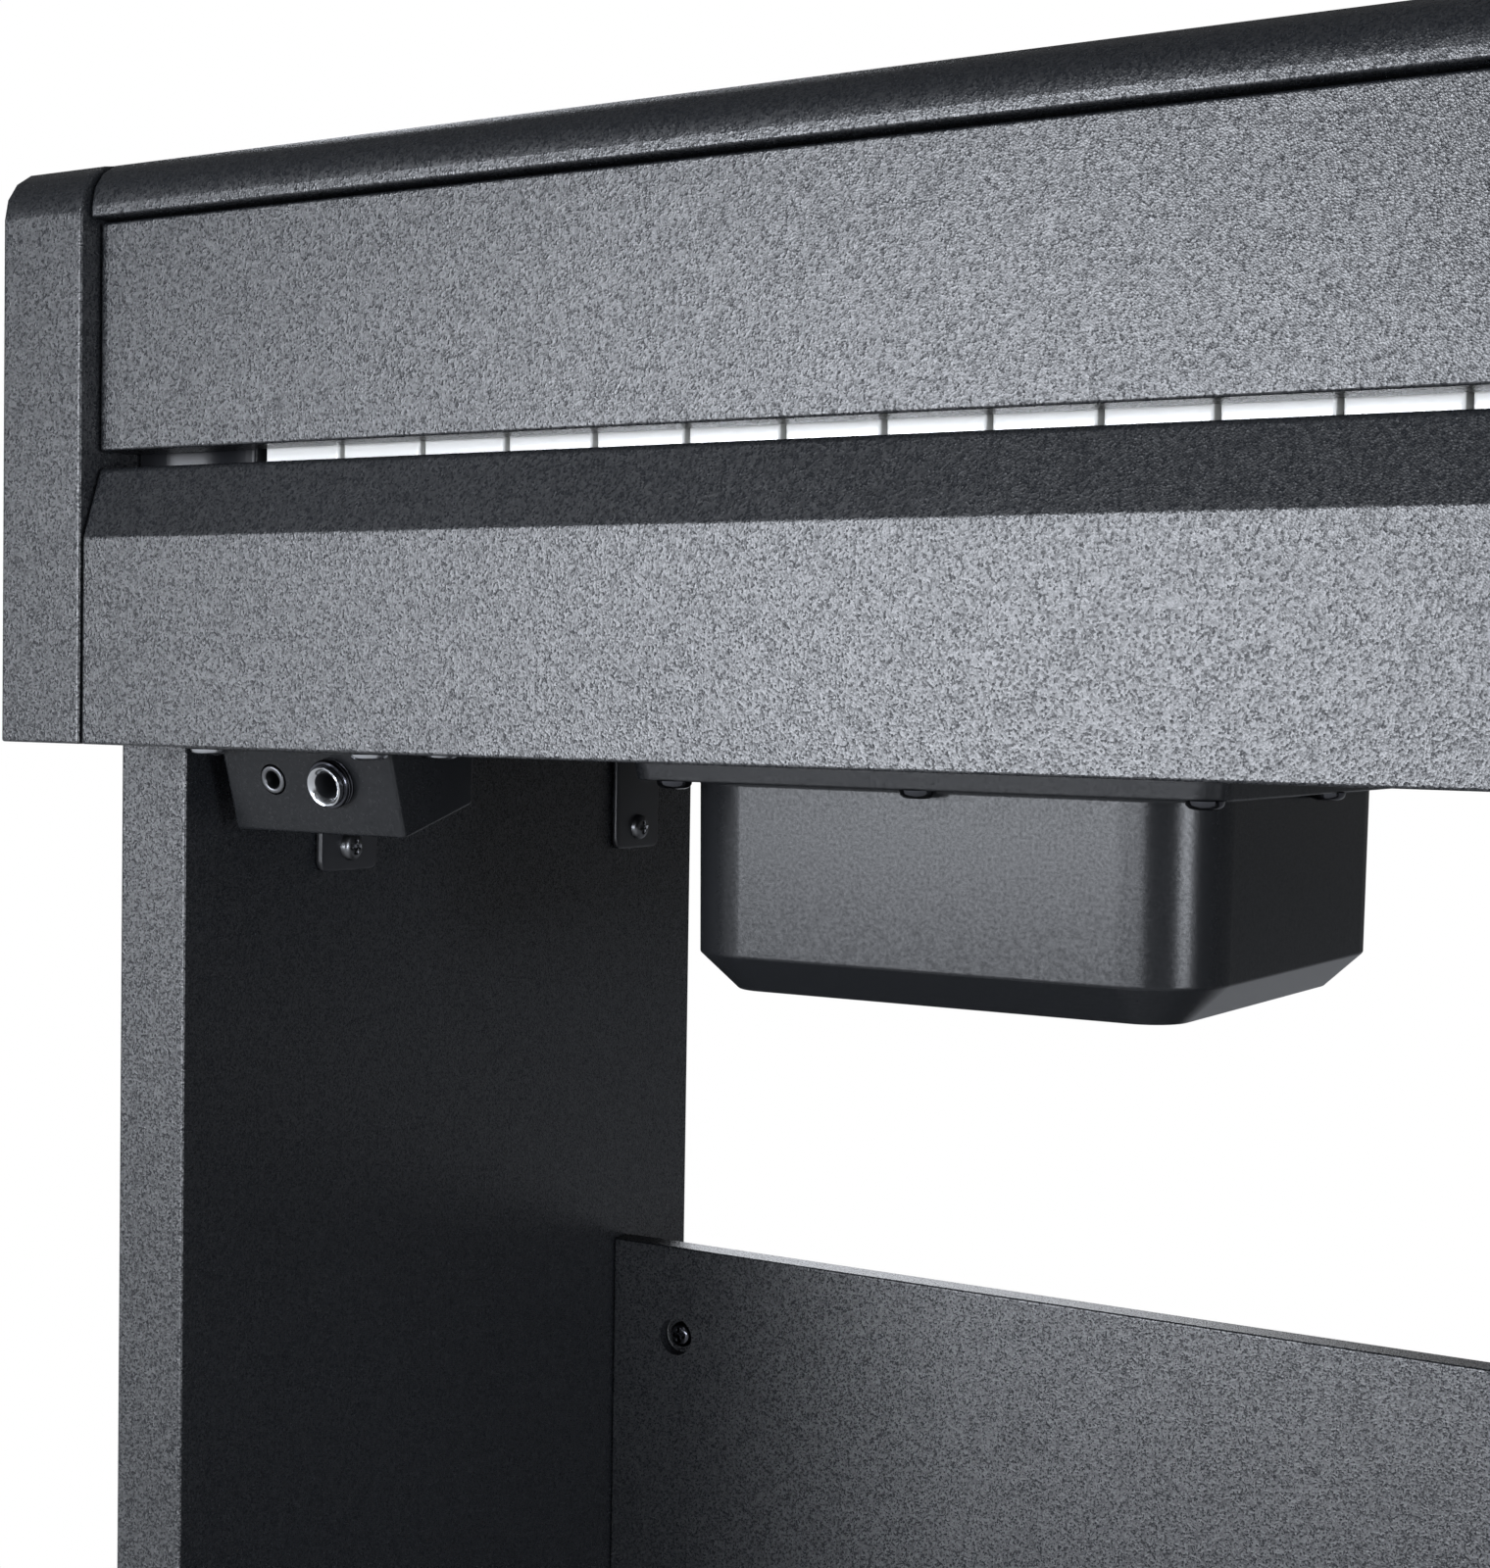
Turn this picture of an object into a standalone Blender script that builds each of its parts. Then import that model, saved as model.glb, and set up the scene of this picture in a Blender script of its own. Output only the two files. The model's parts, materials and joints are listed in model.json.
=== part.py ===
"""Slim digital piano with a folding lid, on a stand of two side boards with three pedals.

Units are metres and +Z is up. The front, where the player sits, faces -Y and X runs along the
keyboard, low notes at -X. The origin lies on the floor under the middle of the instrument.
"""

import math

import bmesh
import bpy
from mathutils import Matrix, Vector

# Clearances
TOUCH = 0.0003          # between pieces that are screwed or glued together
RUN = 0.0010            # each end of the lid, the flap and the front rail
SLIP = 0.0004           # round a button, a knob or a jack in its hole

# Keyboard
WHITE_PITCH = 0.0235
WHITE_COUNT = 52
KEY_GAP = 0.0010
WHITE_HEAD = 0.0500     # length of a white key in front of the black keys
WHITE_LENGTH = 0.1880
WHITE_DEPTH = 0.0200    # top to underside
KEY_PROUD = 0.0080      # white key tops above the front rail
KEY_SETBACK = 0.0200    # white key fronts behind the case front
BLACK_WIDTH = 0.0098
BLACK_TOP_WIDTH = 0.0086
BLACK_LENGTH = 0.0950
BLACK_RISE = 0.0120     # above the white keys
BLACK_SLOPE = 0.0040    # the front face leans back by this
BLACK_CLEAR = 0.0012    # each side, to the white tails
OUTER_SHIFT = 0.0022    # C sharp and D sharp stand apart by this much each
WIDE_SHIFT = 0.0033     # F sharp and A sharp
BRIDGE_WIDTH = 0.0070
BRIDGE_DEPTH = 0.0075
TAIL_DEPTH = 0.0090
TAIL_WIDTH = 0.0078

# Case
BLOCK_WIDTH = 0.0396    # from the outermost key to the cheek
CHEEK_THICK = 0.0259
CHEEK_RADIUS = 0.0130
CASE_DEPTH = 0.3180
CASE_HEIGHT = 0.1378
BOARD = 0.0150
BACK_THICK = 0.0090
RAIL_HEIGHT = 0.0653
RAIL_THICK = 0.0170
CHAMFER_DEPTH = 0.0055
CHAMFER_DROP = 0.0168
REAR_RAIL = 0.0350

# Lid
LID_SETBACK = 0.0021
LID_LIP = 0.0026
LID_RADIUS = 0.0115
FLAP_THICK = 0.0106
FLAP_SEAM = 0.0008
FLAP_CLEAR = 0.0040     # above the front rail
KNUCKLE = 0.0015        # radius of the long hinges
LEAF = 0.0006
LEAF_WIDTH = 0.0120
LEDGE_LENGTH = 0.5200
LEDGE_WIDTH = 0.0240
LEDGE_THICK = 0.0042
LEDGE_INSET = 0.0400    # from the lid's hinge

# Control panel
PANEL_THICK = 0.0030
PANEL_RISE = 0.0040     # above the black keys
BUTTON_RADIUS = 0.0060
BUTTON_PROUD = 0.0015
BUTTON_STEM = 0.0060
BUTTON_PITCH = 0.0300
CONTROLS_X = 0.4700     # power button, from the middle
CONTROLS_BACK = 0.0260  # behind the panel's front
KNOB_RADIUS = 0.0095
KNOB_HEIGHT = 0.0090

# Key bed and electronics
FRAME_FLOOR = 0.0025
FRAME_INSET = 0.0080
FRAME_RIB = 0.0040
FRAME_RIB_HEIGHT = 0.0240
PIVOT_RAIL = 0.0080
PIVOT_RAIL_HEIGHT = 0.0460
BLOCK_PROUD = 0.0040    # end blocks above the white keys
BLOCK_DIP = 0.0020      # hollow in an end block's front
BLOCK_LAND = 0.0075     # flat strip of its front next to the cheek
CIRCUIT_LENGTH = 0.3000
CIRCUIT_MARGIN = 0.0150 # to the key frame in front and to the back panel
CIRCUIT_THICK = 0.0016
CIRCUIT_X = 0.1500
CHIP_SHARES = ((0.45, 0.45), (0.60, 0.25), (0.30, 0.30))    # width and length, of the board's width
CHIP_HEIGHTS = (0.0030, 0.0100, 0.0120)
INLET_WIDTH = 0.0140
INLET_HEIGHT = 0.0110
INLET_LENGTH = 0.0130
INLET_BORE = 0.0065
INLET_DEPTH = 0.0104
INLET_X = 0.5600
INLET_RISE = 0.0300

# Headphone jacks
JACK_WIDTH = 0.0541
JACK_BACK = 0.0448      # box front edge behind the case front
JACK_FACE = 0.0216      # height of the sloping face
JACK_DEPTH = 0.0274
JACK_TILT = math.radians(16.5)
JACK_WALL = 0.0020
JACK_FLANGE = 0.0012
JACK_MARGIN = 0.0120    # flange round the box
JACK_X = 0.0294         # box's left side, from the cheek's outer face
SMALL_JACK = (0.0154, 0.0076)   # from the face's left edge, and down from its top edge
SMALL_RING = 0.0072
SMALL_BORE = 0.0042
LARGE_JACK = (0.0349, 0.0076)
LARGE_BEZEL = 0.0124
LARGE_BUSH = 0.0102
LARGE_BORE = 0.0064
LARGE_PROUD = 0.0042
JACK_BODY = 0.0115
JACK_CORE = 0.0004      # radius of the pinhole in a jack's closed end
JACK_CLEAR = 0.0070     # depth of the holes that the jacks pass through

# Speakers
SPEAKER_X = 0.4822      # from the middle
SPEAKER_BACK = 0.1060   # box front behind the case front
SPEAKER_WIDTH = 0.1419
SPEAKER_LENGTH = 0.1354
SPEAKER_CORNER = 0.0207
SPEAKER_FLANGE = 0.0080
FLANGE_THICK = 0.0074
FLANGE_CORNER = 0.0060
SPEAKER_DROP = 0.0513   # case bottom to the chamfer
SPEAKER_CHAMFER = 0.0100
CHAMFER_HEIGHT = 0.0093
SPEAKER_DRAFT = 0.0006
SPEAKER_WALL = 0.0026
CONE_RADIUS = 0.0400
BASKET_RIM = 0.0060
DRIVER_HEIGHT = 0.0400
MAGNET_RADIUS = 0.0240
BASKET_NECK = 0.0192
MAGNET_HEIGHT = 0.0140
GRILLE_THICK = 0.0020

# Stand
LEG_THICK = 0.0220
LEG_DEPTH = 0.2345
LEG_SETBACK = 0.0400
LEG_LENGTH = 0.6472
FOOT_THICK = 0.0050
FOOT_WIDTH = 0.0160
FOOT_MARGIN = 0.0120
BRACKET_WIDTH = 0.0225
BRACKET_DROP = 0.0350
BRACKET_REACH = 0.0280
BRACKET_STEEL = 0.0020
BRACKET_ROUND = 0.0030
BRACKET_BACK = (0.0899, 0.2294)   # front edges behind the case front
MODESTY_BACK = 0.2330
MODESTY_THICK = 0.0085
MODESTY_DROP = 0.1587   # top edge below the case
MODESTY_HEIGHT = 0.2800
CLEAT_WIDTH = 0.0350
CLEAT_DEPTH = 0.0160
CLEAT_MARGIN = 0.0100

# Pedals
BEAM_BACK = 0.1700
BEAM_DEPTH = 0.0620
BEAM_HEIGHT = 0.0900
BEAM_RISE = 0.0300
BEAM_BOARD = 0.0120
PEDAL_PITCH = 0.0700
PEDAL_REACH = 0.0960    # in front of the beam
PEDAL_THICK = 0.0080
PEDAL_STEM = 0.0160
PEDAL_SHOE = 0.0270
PEDAL_SHOE_LENGTH = 0.0560
PEDAL_HEIGHT = 0.0360   # pivot above the beam's underside
PIVOT_BACK = 0.0450     # pivot behind the beam's front
PIN_RADIUS = 0.0030
PIN_LENGTH = 0.0380
BOSS_RADIUS = 0.0070
EAR = 0.0025
EAR_TOP = 0.0075        # ears above the pivot
BRACKET_BASE = 0.0025
BRACKET_LENGTH = 0.2100
SLOT_WIDTH = 0.0340
SLOT_BELOW = 0.0125
SLOT_ABOVE = 0.0075
ADJUSTER_RADIUS = 0.0190
ADJUSTER_DISC = 0.0080
ADJUSTER_STEM = 0.0050
ADJUSTER_LIFT = 0.0005  # clear of the floor
ADJUSTER_BACK = 0.0140  # behind the beam's front
ADJUSTER_LENGTH = 0.0430

# Planes and heights that the driving sizes give
KEYBOARD = WHITE_PITCH * WHITE_COUNT
INNER = KEYBOARD / 2 + BLOCK_WIDTH
OUTER = INNER + CHEEK_THICK
SPAN = INNER - RUN
FRONT = -CASE_DEPTH / 2
BACK = CASE_DEPTH / 2
CASE_BOTTOM = FOOT_THICK + TOUCH + LEG_LENGTH + TOUCH
CASE_TOP = CASE_BOTTOM + CASE_HEIGHT
RAIL_TOP = CASE_BOTTOM + RAIL_HEIGHT
KEY_TOP = RAIL_TOP + KEY_PROUD
KEY_BOTTOM = KEY_TOP - WHITE_DEPTH
KEY_FRONT = FRONT + KEY_SETBACK
BLACK_FRONT = KEY_FRONT + WHITE_HEAD
BLACK_TOP = KEY_TOP + BLACK_RISE
WHITE_REAR = KEY_FRONT + WHITE_LENGTH
BLACK_REAR = WHITE_REAR + BRIDGE_WIDTH + 4 * KEY_GAP
FRAME_REAR = BLACK_REAR + 3 * KEY_GAP + PIVOT_RAIL
KEY_PIVOT = Vector((0, BLACK_REAR, KEY_BOTTOM + BRIDGE_DEPTH))
TAIL_BOTTOM = KEY_BOTTOM + BRIDGE_DEPTH + 2 * KEY_GAP
LID_THICK = LID_LIP + LID_RADIUS
LID_UNDER = CASE_TOP - LID_THICK
REAR_RAIL_FRONT = BACK - REAR_RAIL
LID_REAR = REAR_RAIL_FRONT - LEAF - 2 * TOUCH
LID_PIVOT = Vector((0, REAR_RAIL_FRONT - TOUCH - LEAF / 2, CASE_TOP + KNUCKLE + 2 * TOUCH))
FLAP_FRONT = FRONT + CHAMFER_DEPTH
FLAP_REAR = FLAP_FRONT + FLAP_THICK
FLAP_TOP = LID_UNDER - FLAP_SEAM
FLAP_PIVOT = Vector((0, FLAP_REAR + KNUCKLE + TOUCH, LID_UNDER - KNUCKLE - TOUCH))
PANEL_FRONT = BLACK_FRONT + BLACK_LENGTH + KEY_GAP
PANEL_TOP = BLACK_TOP + PANEL_RISE
BOARD_TOP = CASE_BOTTOM + BOARD
LEG_FRONT = FRONT + LEG_SETBACK
LEG_REAR = LEG_FRONT + LEG_DEPTH
LEG_INNER = OUTER - LEG_THICK
BEAM_FRONT = FRONT + BEAM_BACK
BEAM_BOTTOM = BEAM_RISE
PEDAL_PIVOT_Y = BEAM_FRONT + PIVOT_BACK
PEDAL_PIVOT_Z = BEAM_BOTTOM + PEDAL_HEIGHT

# One octave has a black key after these white keys, counted from C
BLACK_AFTER = {0: -OUTER_SHIFT, 1: OUTER_SHIFT, 3: -WIDE_SHIFT, 4: 0.0, 5: WIDE_SHIFT}
OCTAVE = 7
FIRST_NOTE = 5          # the lowest white key is an A, five after C
OCTAVES = 7


def clear_scene():
    """Remove every object and mesh."""
    for item in list(bpy.data.objects):
        bpy.data.objects.remove(item, do_unlink=True)


def finish(name, colour, roughness, metallic=0.0):
    """Make a Principled material."""
    made = bpy.data.materials.new(name)
    made.use_nodes = True
    shader = made.node_tree.nodes["Principled BSDF"]
    shader.inputs["Base Color"].default_value = (*colour, 1)
    shader.inputs["Roughness"].default_value = roughness
    shader.inputs["Metallic"].default_value = metallic
    made.diffuse_color = (*colour, 1)
    return made


def add(name, mesh, material, pivot=None, smooth=None):
    """Link a mesh as a named object, with its origin at the pivot where it moves."""
    bmesh.ops.remove_doubles(mesh, verts=mesh.verts, dist=1e-7)
    bmesh.ops.recalc_face_normals(mesh, faces=mesh.faces)
    if pivot is not None:
        bmesh.ops.translate(mesh, verts=mesh.verts, vec=-pivot)
    data = bpy.data.meshes.new(name)
    mesh.to_mesh(data)
    mesh.free()
    item = bpy.data.objects.new(name, data)
    bpy.context.scene.collection.objects.link(item)
    data.materials.append(material)
    if pivot is not None:
        item.location = pivot
    if smooth is not None:
        data.shade_smooth()
        data.set_sharp_from_angle(angle=math.radians(smooth))
    return item


def combine(item, other, operation):
    """Cut the other object from this one, or join it on, and keep it as a hidden guide."""
    other.hide_render = True
    other.display_type = "WIRE"
    change = item.modifiers.new(other.name, "BOOLEAN")
    change.operation = operation
    change.solver = "EXACT"
    change.object = other


def cut(item, name, mesh):
    """Cut a shape from an object."""
    combine(item, add(name, mesh, item.data.materials[0]), "DIFFERENCE")


def join(item, name, mesh):
    """Join a shape to an object, which may be a group of separate ones."""
    combine(item, add(name, mesh, item.data.materials[0]), "UNION")


def prism(outline, low, high, axis="X", mesh=None):
    """Extrude an outline: (y, z) points along X, (x, z) along Y, or (x, y) along Z."""
    mesh = mesh or bmesh.new()
    order = {"X": lambda u, v, w: (w, u, v), "Y": lambda u, v, w: (u, w, v), "Z": lambda u, v, w: (u, v, w)}
    ends = []
    for level in (low, high):
        ends.append([mesh.verts.new(order[axis](u, v, level)) for u, v in outline])
    mesh.faces.new(ends[0])
    mesh.faces.new(reversed(ends[1]))
    count = len(outline)
    for step in range(count):
        after = (step + 1) % count
        mesh.faces.new((ends[0][step], ends[0][after], ends[1][after], ends[1][step]))
    return mesh


def box(low, high, mesh=None):
    """Make a box from its lowest and highest corners."""
    outline = ((low[0], low[1]), (high[0], low[1]), (high[0], high[1]), (low[0], high[1]))
    return prism(outline, low[2], high[2], "Z", mesh)


def arc(centre, radius, start, end, steps):
    """Points along an arc, angles in degrees."""
    angles = [math.radians(start + (end - start) * step / steps) for step in range(steps + 1)]
    return [(centre[0] + radius * math.cos(a), centre[1] + radius * math.sin(a)) for a in angles]


def rounded(centre, width, length, radius, steps=4):
    """Outline of a rectangle with round corners."""
    points = []
    for turn, (sx, sy) in enumerate(((1, 1), (-1, 1), (-1, -1), (1, -1))):
        corner = (centre[0] + sx * (width / 2 - radius), centre[1] + sy * (length / 2 - radius))
        points += arc(corner, radius, 90 * turn, 90 * turn + 90, steps)
    return points


def rings(levels, mesh=None, closed=False):
    """Join outlines of equal point counts, each at its own height, and cap or close the ends."""
    mesh = mesh or bmesh.new()
    made = [[mesh.verts.new((x, y, z)) for x, y in outline] for outline, z in levels]
    pairs = list(zip(made, made[1:]))
    if closed:
        pairs.append((made[-1], made[0]))
    for lower, upper in pairs:
        count = len(lower)
        for step in range(count):
            after = (step + 1) % count
            mesh.faces.new((lower[step], lower[after], upper[after], upper[step]))
    if not closed:
        mesh.faces.new(made[0])
        mesh.faces.new(reversed(made[-1]))
    return mesh


def turned(profile, sides=20, closed=False):
    """Turn (radius, height) points round Z. A closed profile makes a tube."""
    levels = [(arc((0, 0), radius, 0, 360 - 360 / sides, sides - 1), height) for radius, height in profile]
    return rings(levels, closed=closed)


def moved(mesh, place, turn=None):
    """Turn a mesh about the origin, then move it."""
    matrix = Matrix.Translation(place) @ (turn or Matrix())
    bmesh.ops.transform(mesh, matrix=matrix, verts=mesh.verts)
    return mesh


def mirrored(build, name, side, material):
    """Build a piece on the left, side -1, or its mirror image on the right, side 1."""
    mesh = build()
    if side > 0:
        bmesh.ops.scale(mesh, vec=(-1, 1, 1), verts=mesh.verts)
    return add(name, mesh, material)


def white_left(index):
    """Left edge of a white key's slot."""
    return -KEYBOARD / 2 + index * WHITE_PITCH


def black_centre(index):
    """Middle of the black key after a white key, or None."""
    note = (index + FIRST_NOTE) % OCTAVE
    if note not in BLACK_AFTER or not 0 <= index < WHITE_COUNT - 1:
        return None
    return white_left(index + 1) + BLACK_AFTER[note]


def octave_keys(number):
    """White keys of a set: one octave from C to B, with the odd notes at both ends."""
    lead = OCTAVE - FIRST_NOTE
    first = lead + OCTAVE * (number - 1)
    last = first + OCTAVE
    if number == 1:
        first = 0
    if number == OCTAVES:
        last = WHITE_COUNT
    return range(first, last)


def tail_sides(index):
    """Left and right sides of a white key behind its head."""
    left = white_left(index) + KEY_GAP / 2
    right = white_left(index + 1) - KEY_GAP / 2
    before, after = black_centre(index - 1), black_centre(index)
    if before is not None:
        left = before + BLACK_WIDTH / 2 + BLACK_CLEAR
    if after is not None:
        right = after - BLACK_WIDTH / 2 - BLACK_CLEAR
    return left, right


def white_outline(index):
    """Plan of one white key, notched for its black neighbours."""
    left = white_left(index) + KEY_GAP / 2
    right = white_left(index + 1) - KEY_GAP / 2
    inner_left, inner_right = tail_sides(index)
    notch = BLACK_FRONT - BLACK_CLEAR
    points = [(left, KEY_FRONT), (right, KEY_FRONT)]
    if inner_right < right:
        points += [(right, notch), (inner_right, notch)]
    points += [(inner_right, WHITE_REAR), (inner_left, WHITE_REAR)]
    if inner_left > left:
        points += [(inner_left, notch), (left, notch)]
    return points


def white_set(number, material):
    """White keys of one octave, moulded on one bridge at the back."""
    keys = octave_keys(number)
    margin = KEY_GAP
    low = (tail_sides(keys[0])[0] + margin, WHITE_REAR - BRIDGE_WIDTH, KEY_BOTTOM + margin / 2)
    high = (tail_sides(keys[-1])[1] - margin, WHITE_REAR - margin, KEY_BOTTOM + BRIDGE_DEPTH)
    item = add(f"white_keys_{number}", box(low, high), material, KEY_PIVOT)
    group = bmesh.new()
    for index in keys:
        prism(white_outline(index), KEY_BOTTOM, KEY_TOP, "Z", group)
    join(item, f"white_fingers_{number}", group)


def black_head(centre, mesh):
    """One black key's playing part: its sides and front lean inwards."""
    front = BLACK_FRONT
    rear = BLACK_FRONT + BLACK_LENGTH
    half, top = BLACK_WIDTH / 2, BLACK_TOP_WIDTH / 2
    base = [(centre - half, front), (centre + half, front), (centre + half, rear), (centre - half, rear)]
    cap = [(centre - top, front + BLACK_SLOPE), (centre + top, front + BLACK_SLOPE)]
    cap += [(centre + top, rear), (centre - top, rear)]
    rings(((base, TAIL_BOTTOM), (cap, BLACK_TOP)), mesh)


def black_set(number, material):
    """Black keys of one octave, on a bridge behind and above the white one."""
    centres = [black_centre(index) for index in octave_keys(number)]
    centres = [centre for centre in centres if centre is not None]
    margin = KEY_GAP
    reach = TAIL_WIDTH / 2 - margin
    low = (centres[0] - reach, BLACK_REAR - BRIDGE_WIDTH, TAIL_BOTTOM + margin)
    high = (centres[-1] + reach, BLACK_REAR - margin, TAIL_BOTTOM + TAIL_DEPTH - margin)
    item = add(f"black_keys_{number}", box(low, high), material, KEY_PIVOT)
    tails, heads = bmesh.new(), bmesh.new()
    for centre in centres:
        start = BLACK_FRONT + BLACK_LENGTH - BRIDGE_WIDTH
        tail_low = (centre - TAIL_WIDTH / 2, start, TAIL_BOTTOM + margin / 2)
        tail_high = (centre + TAIL_WIDTH / 2, BLACK_REAR, TAIL_BOTTOM + TAIL_DEPTH)
        box(tail_low, tail_high, tails)
        black_head(centre, heads)
    join(item, f"black_tails_{number}", tails)
    join(item, f"black_heads_{number}", heads)


def build_keyboard(mats):
    """Key sets, the frame that carries them and the two end blocks."""
    for number in range(1, OCTAVES + 1):
        white_set(number, mats["ivory"])
        black_set(number, mats["ebony"])
    floor = BOARD_TOP + TOUCH
    front = KEY_FRONT + FRAME_INSET
    rail = FRAME_REAR - PIVOT_RAIL
    top = floor + FRAME_FLOOR
    rib, rib_top = front + FRAME_RIB, floor + FRAME_RIB_HEIGHT
    outline = [(front, floor), (FRAME_REAR, floor), (FRAME_REAR, floor + PIVOT_RAIL_HEIGHT)]
    outline += [(rail, floor + PIVOT_RAIL_HEIGHT), (rail, top), (rib + FRAME_RIB, top)]
    outline += [(rib + FRAME_RIB, rib_top), (rib, rib_top), (rib, top), (front, top)]
    add("key_frame", prism(outline, -KEYBOARD / 2, KEYBOARD / 2), mats["chassis"])
    for side, name in ((-1, "left"), (1, "right")):
        mirrored(end_block, f"key_block_{name}", side, mats["gloss"])


def end_block():
    """Glossy block that fills the space between the left cheek and the lowest key."""
    outer = -INNER + 2 * TOUCH
    inner = -KEYBOARD / 2 - 2 * KEY_GAP
    front = KEY_FRONT - KEY_GAP
    land = outer + BLOCK_LAND
    waist = (land + inner) / 2
    outline = [(inner, PANEL_FRONT - TOUCH), (outer, PANEL_FRONT - TOUCH), (outer, front)]
    outline += [(land, front), ((land + waist) / 2, front + BLOCK_DIP / 4)]
    outline += [(waist + BLOCK_DIP, front + BLOCK_DIP), ((waist + inner) / 2, front + BLOCK_DIP / 2)]
    outline += [(inner - KEY_GAP, front), (inner, front + KEY_GAP)]
    return prism(outline, BOARD_TOP + TOUCH, KEY_TOP + BLOCK_PROUD, "Z")


def cheek():
    """Side board of the case, its front top corner rounded."""
    centre = (FRONT + CHEEK_RADIUS, CASE_TOP - CHEEK_RADIUS)
    outline = [(FRONT, CASE_BOTTOM)] + arc(centre, CHEEK_RADIUS, 180, 90, 8)
    outline += [(BACK, CASE_TOP), (BACK, CASE_BOTTOM)]
    return prism(outline, -OUTER, -INNER)


def build_case(mats):
    """Boards of the case."""
    for side, name in ((-1, "left"), (1, "right")):
        mirrored(cheek, f"cheek_{name}", side, mats["laminate"])
    inside = INNER - TOUCH
    rail_rear = FRONT + RAIL_THICK
    outline = [(FRONT, CASE_BOTTOM), (FRONT, RAIL_TOP - CHAMFER_DROP), (FLAP_FRONT, RAIL_TOP)]
    outline += [(rail_rear, RAIL_TOP), (rail_rear, CASE_BOTTOM)]
    add("front_rail", prism(outline, -SPAN, SPAN), mats["laminate"])
    low = (-inside, rail_rear + TOUCH, CASE_BOTTOM)
    high = (inside, BACK - BACK_THICK - TOUCH, BOARD_TOP)
    add("bottom_board", box(low, high), mats["laminate"])
    back_low = (-inside, BACK - BACK_THICK, CASE_BOTTOM)
    back_high = (inside, BACK, LID_UNDER - TOUCH)
    back = add("back_panel", box(back_low, back_high), mats["laminate"])
    gap = SLIP
    sill = BOARD_TOP + INLET_RISE
    hole_low = (-INLET_X - gap, BACK - BACK_THICK - BOARD, sill - gap)
    hole_high = (-INLET_X + INLET_WIDTH + gap, BACK + BOARD, sill + INLET_HEIGHT + gap)
    cut(back, "inlet_hole", box(hole_low, hole_high))
    rail = box((-inside, REAR_RAIL_FRONT, LID_UNDER), (inside, BACK, CASE_TOP))
    add("rear_top_rail", rail, mats["laminate"])


def hinge_strip(pivot, towards, length):
    """Long hinge: a round knuckle with one leaf, which runs from the pivot in a direction."""
    knuckle = arc((pivot.y, pivot.z), KNUCKLE, 0, 330, 11)
    strip = prism(knuckle, -length, length)
    across = Vector((0, -towards.z, towards.y)) * LEAF / 2
    far = pivot + towards * LEAF_WIDTH
    near = pivot + towards * KNUCKLE / 2
    leaf = [near - across, far - across, far + across, near + across]
    return strip, prism([(p.y, p.z) for p in leaf], -length + TOUCH, length - TOUCH)


def build_lid(mats):
    """Lid, front flap, their hinges and the folding music ledge."""
    front = FRONT + LID_SETBACK
    centre = (front + LID_RADIUS, CASE_TOP - LID_RADIUS)
    outline = [(front, LID_UNDER)] + arc(centre, LID_RADIUS, 180, 90, 8)
    outline += [(LID_REAR, CASE_TOP), (LID_REAR, LID_UNDER)]
    add("lid_top", prism(outline, -SPAN, SPAN), mats["laminate"], LID_PIVOT)
    low = (-SPAN, FLAP_FRONT, RAIL_TOP + FLAP_CLEAR)
    add("lid_flap", box(low, (SPAN, FLAP_REAR, FLAP_TOP)), mats["laminate"], FLAP_PIVOT)
    for name, pivot, towards in (
        ("lid_hinge", LID_PIVOT, Vector((0, 0, -1))),
        ("flap_hinge", FLAP_PIVOT, Vector((0, 1, 0))),
    ):
        strip, leaf = hinge_strip(pivot, towards, SPAN - RUN)
        moves = pivot if name == "lid_hinge" else LID_PIVOT
        item = add(name, strip, mats["steel"], moves)
        join(item, f"{name}_leaf", leaf)
    ledge = ledge_pivot()
    half = LEDGE_THICK / 2
    low = (-LEDGE_LENGTH / 2, ledge.y - LEDGE_WIDTH, ledge.z - half)
    high = (LEDGE_LENGTH / 2, ledge.y + half / 2, ledge.z + half)
    add("music_ledge", box(low, high), mats["satin"], ledge)


def ledge_pivot():
    """Axis of the music ledge, under the lid."""
    return Vector((0, LID_REAR - LEDGE_INSET, LID_UNDER - LEDGE_THICK / 2 - 2 * TOUCH))


def build_controls(mats):
    """Panel behind the keys, with its buttons and knob."""
    rear = BACK - BACK_THICK - TOUCH
    inside = INNER - TOUCH
    under = PANEL_TOP - PANEL_THICK
    plate = box((-inside, PANEL_FRONT, under), (inside, rear, PANEL_TOP))
    panel = add("control_panel", plate, mats["satin"])
    row = PANEL_FRONT + CONTROLS_BACK
    holes = bmesh.new()
    places = {"power_button": -CONTROLS_X, "function_button": -CONTROLS_X + BUTTON_PITCH}
    for name, x in places.items():
        place = Vector((x, row, PANEL_TOP))
        hole = arc((x, row), BUTTON_RADIUS + SLIP, 0, 345, 23)
        prism(hole, under - BOARD, PANEL_TOP + BOARD, "Z", holes)
        profile = ((BUTTON_RADIUS, -BUTTON_STEM), (BUTTON_RADIUS, BUTTON_PROUD - SLIP))
        profile += ((BUTTON_RADIUS - SLIP, BUTTON_PROUD),)
        add(name, moved(turned(profile, 24), place), mats["button"], place, 35)
    cut(panel, "button_holes", holes)
    place = Vector((-CONTROLS_X + 3 * BUTTON_PITCH, row, PANEL_TOP + TOUCH))
    profile = ((KNOB_RADIUS, 0), (KNOB_RADIUS, KNOB_HEIGHT - 2 * SLIP))
    profile += ((KNOB_RADIUS - 2 * SLIP, KNOB_HEIGHT),)
    add("volume_knob", moved(turned(profile, 24), place), mats["button"], place, 35)


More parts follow.
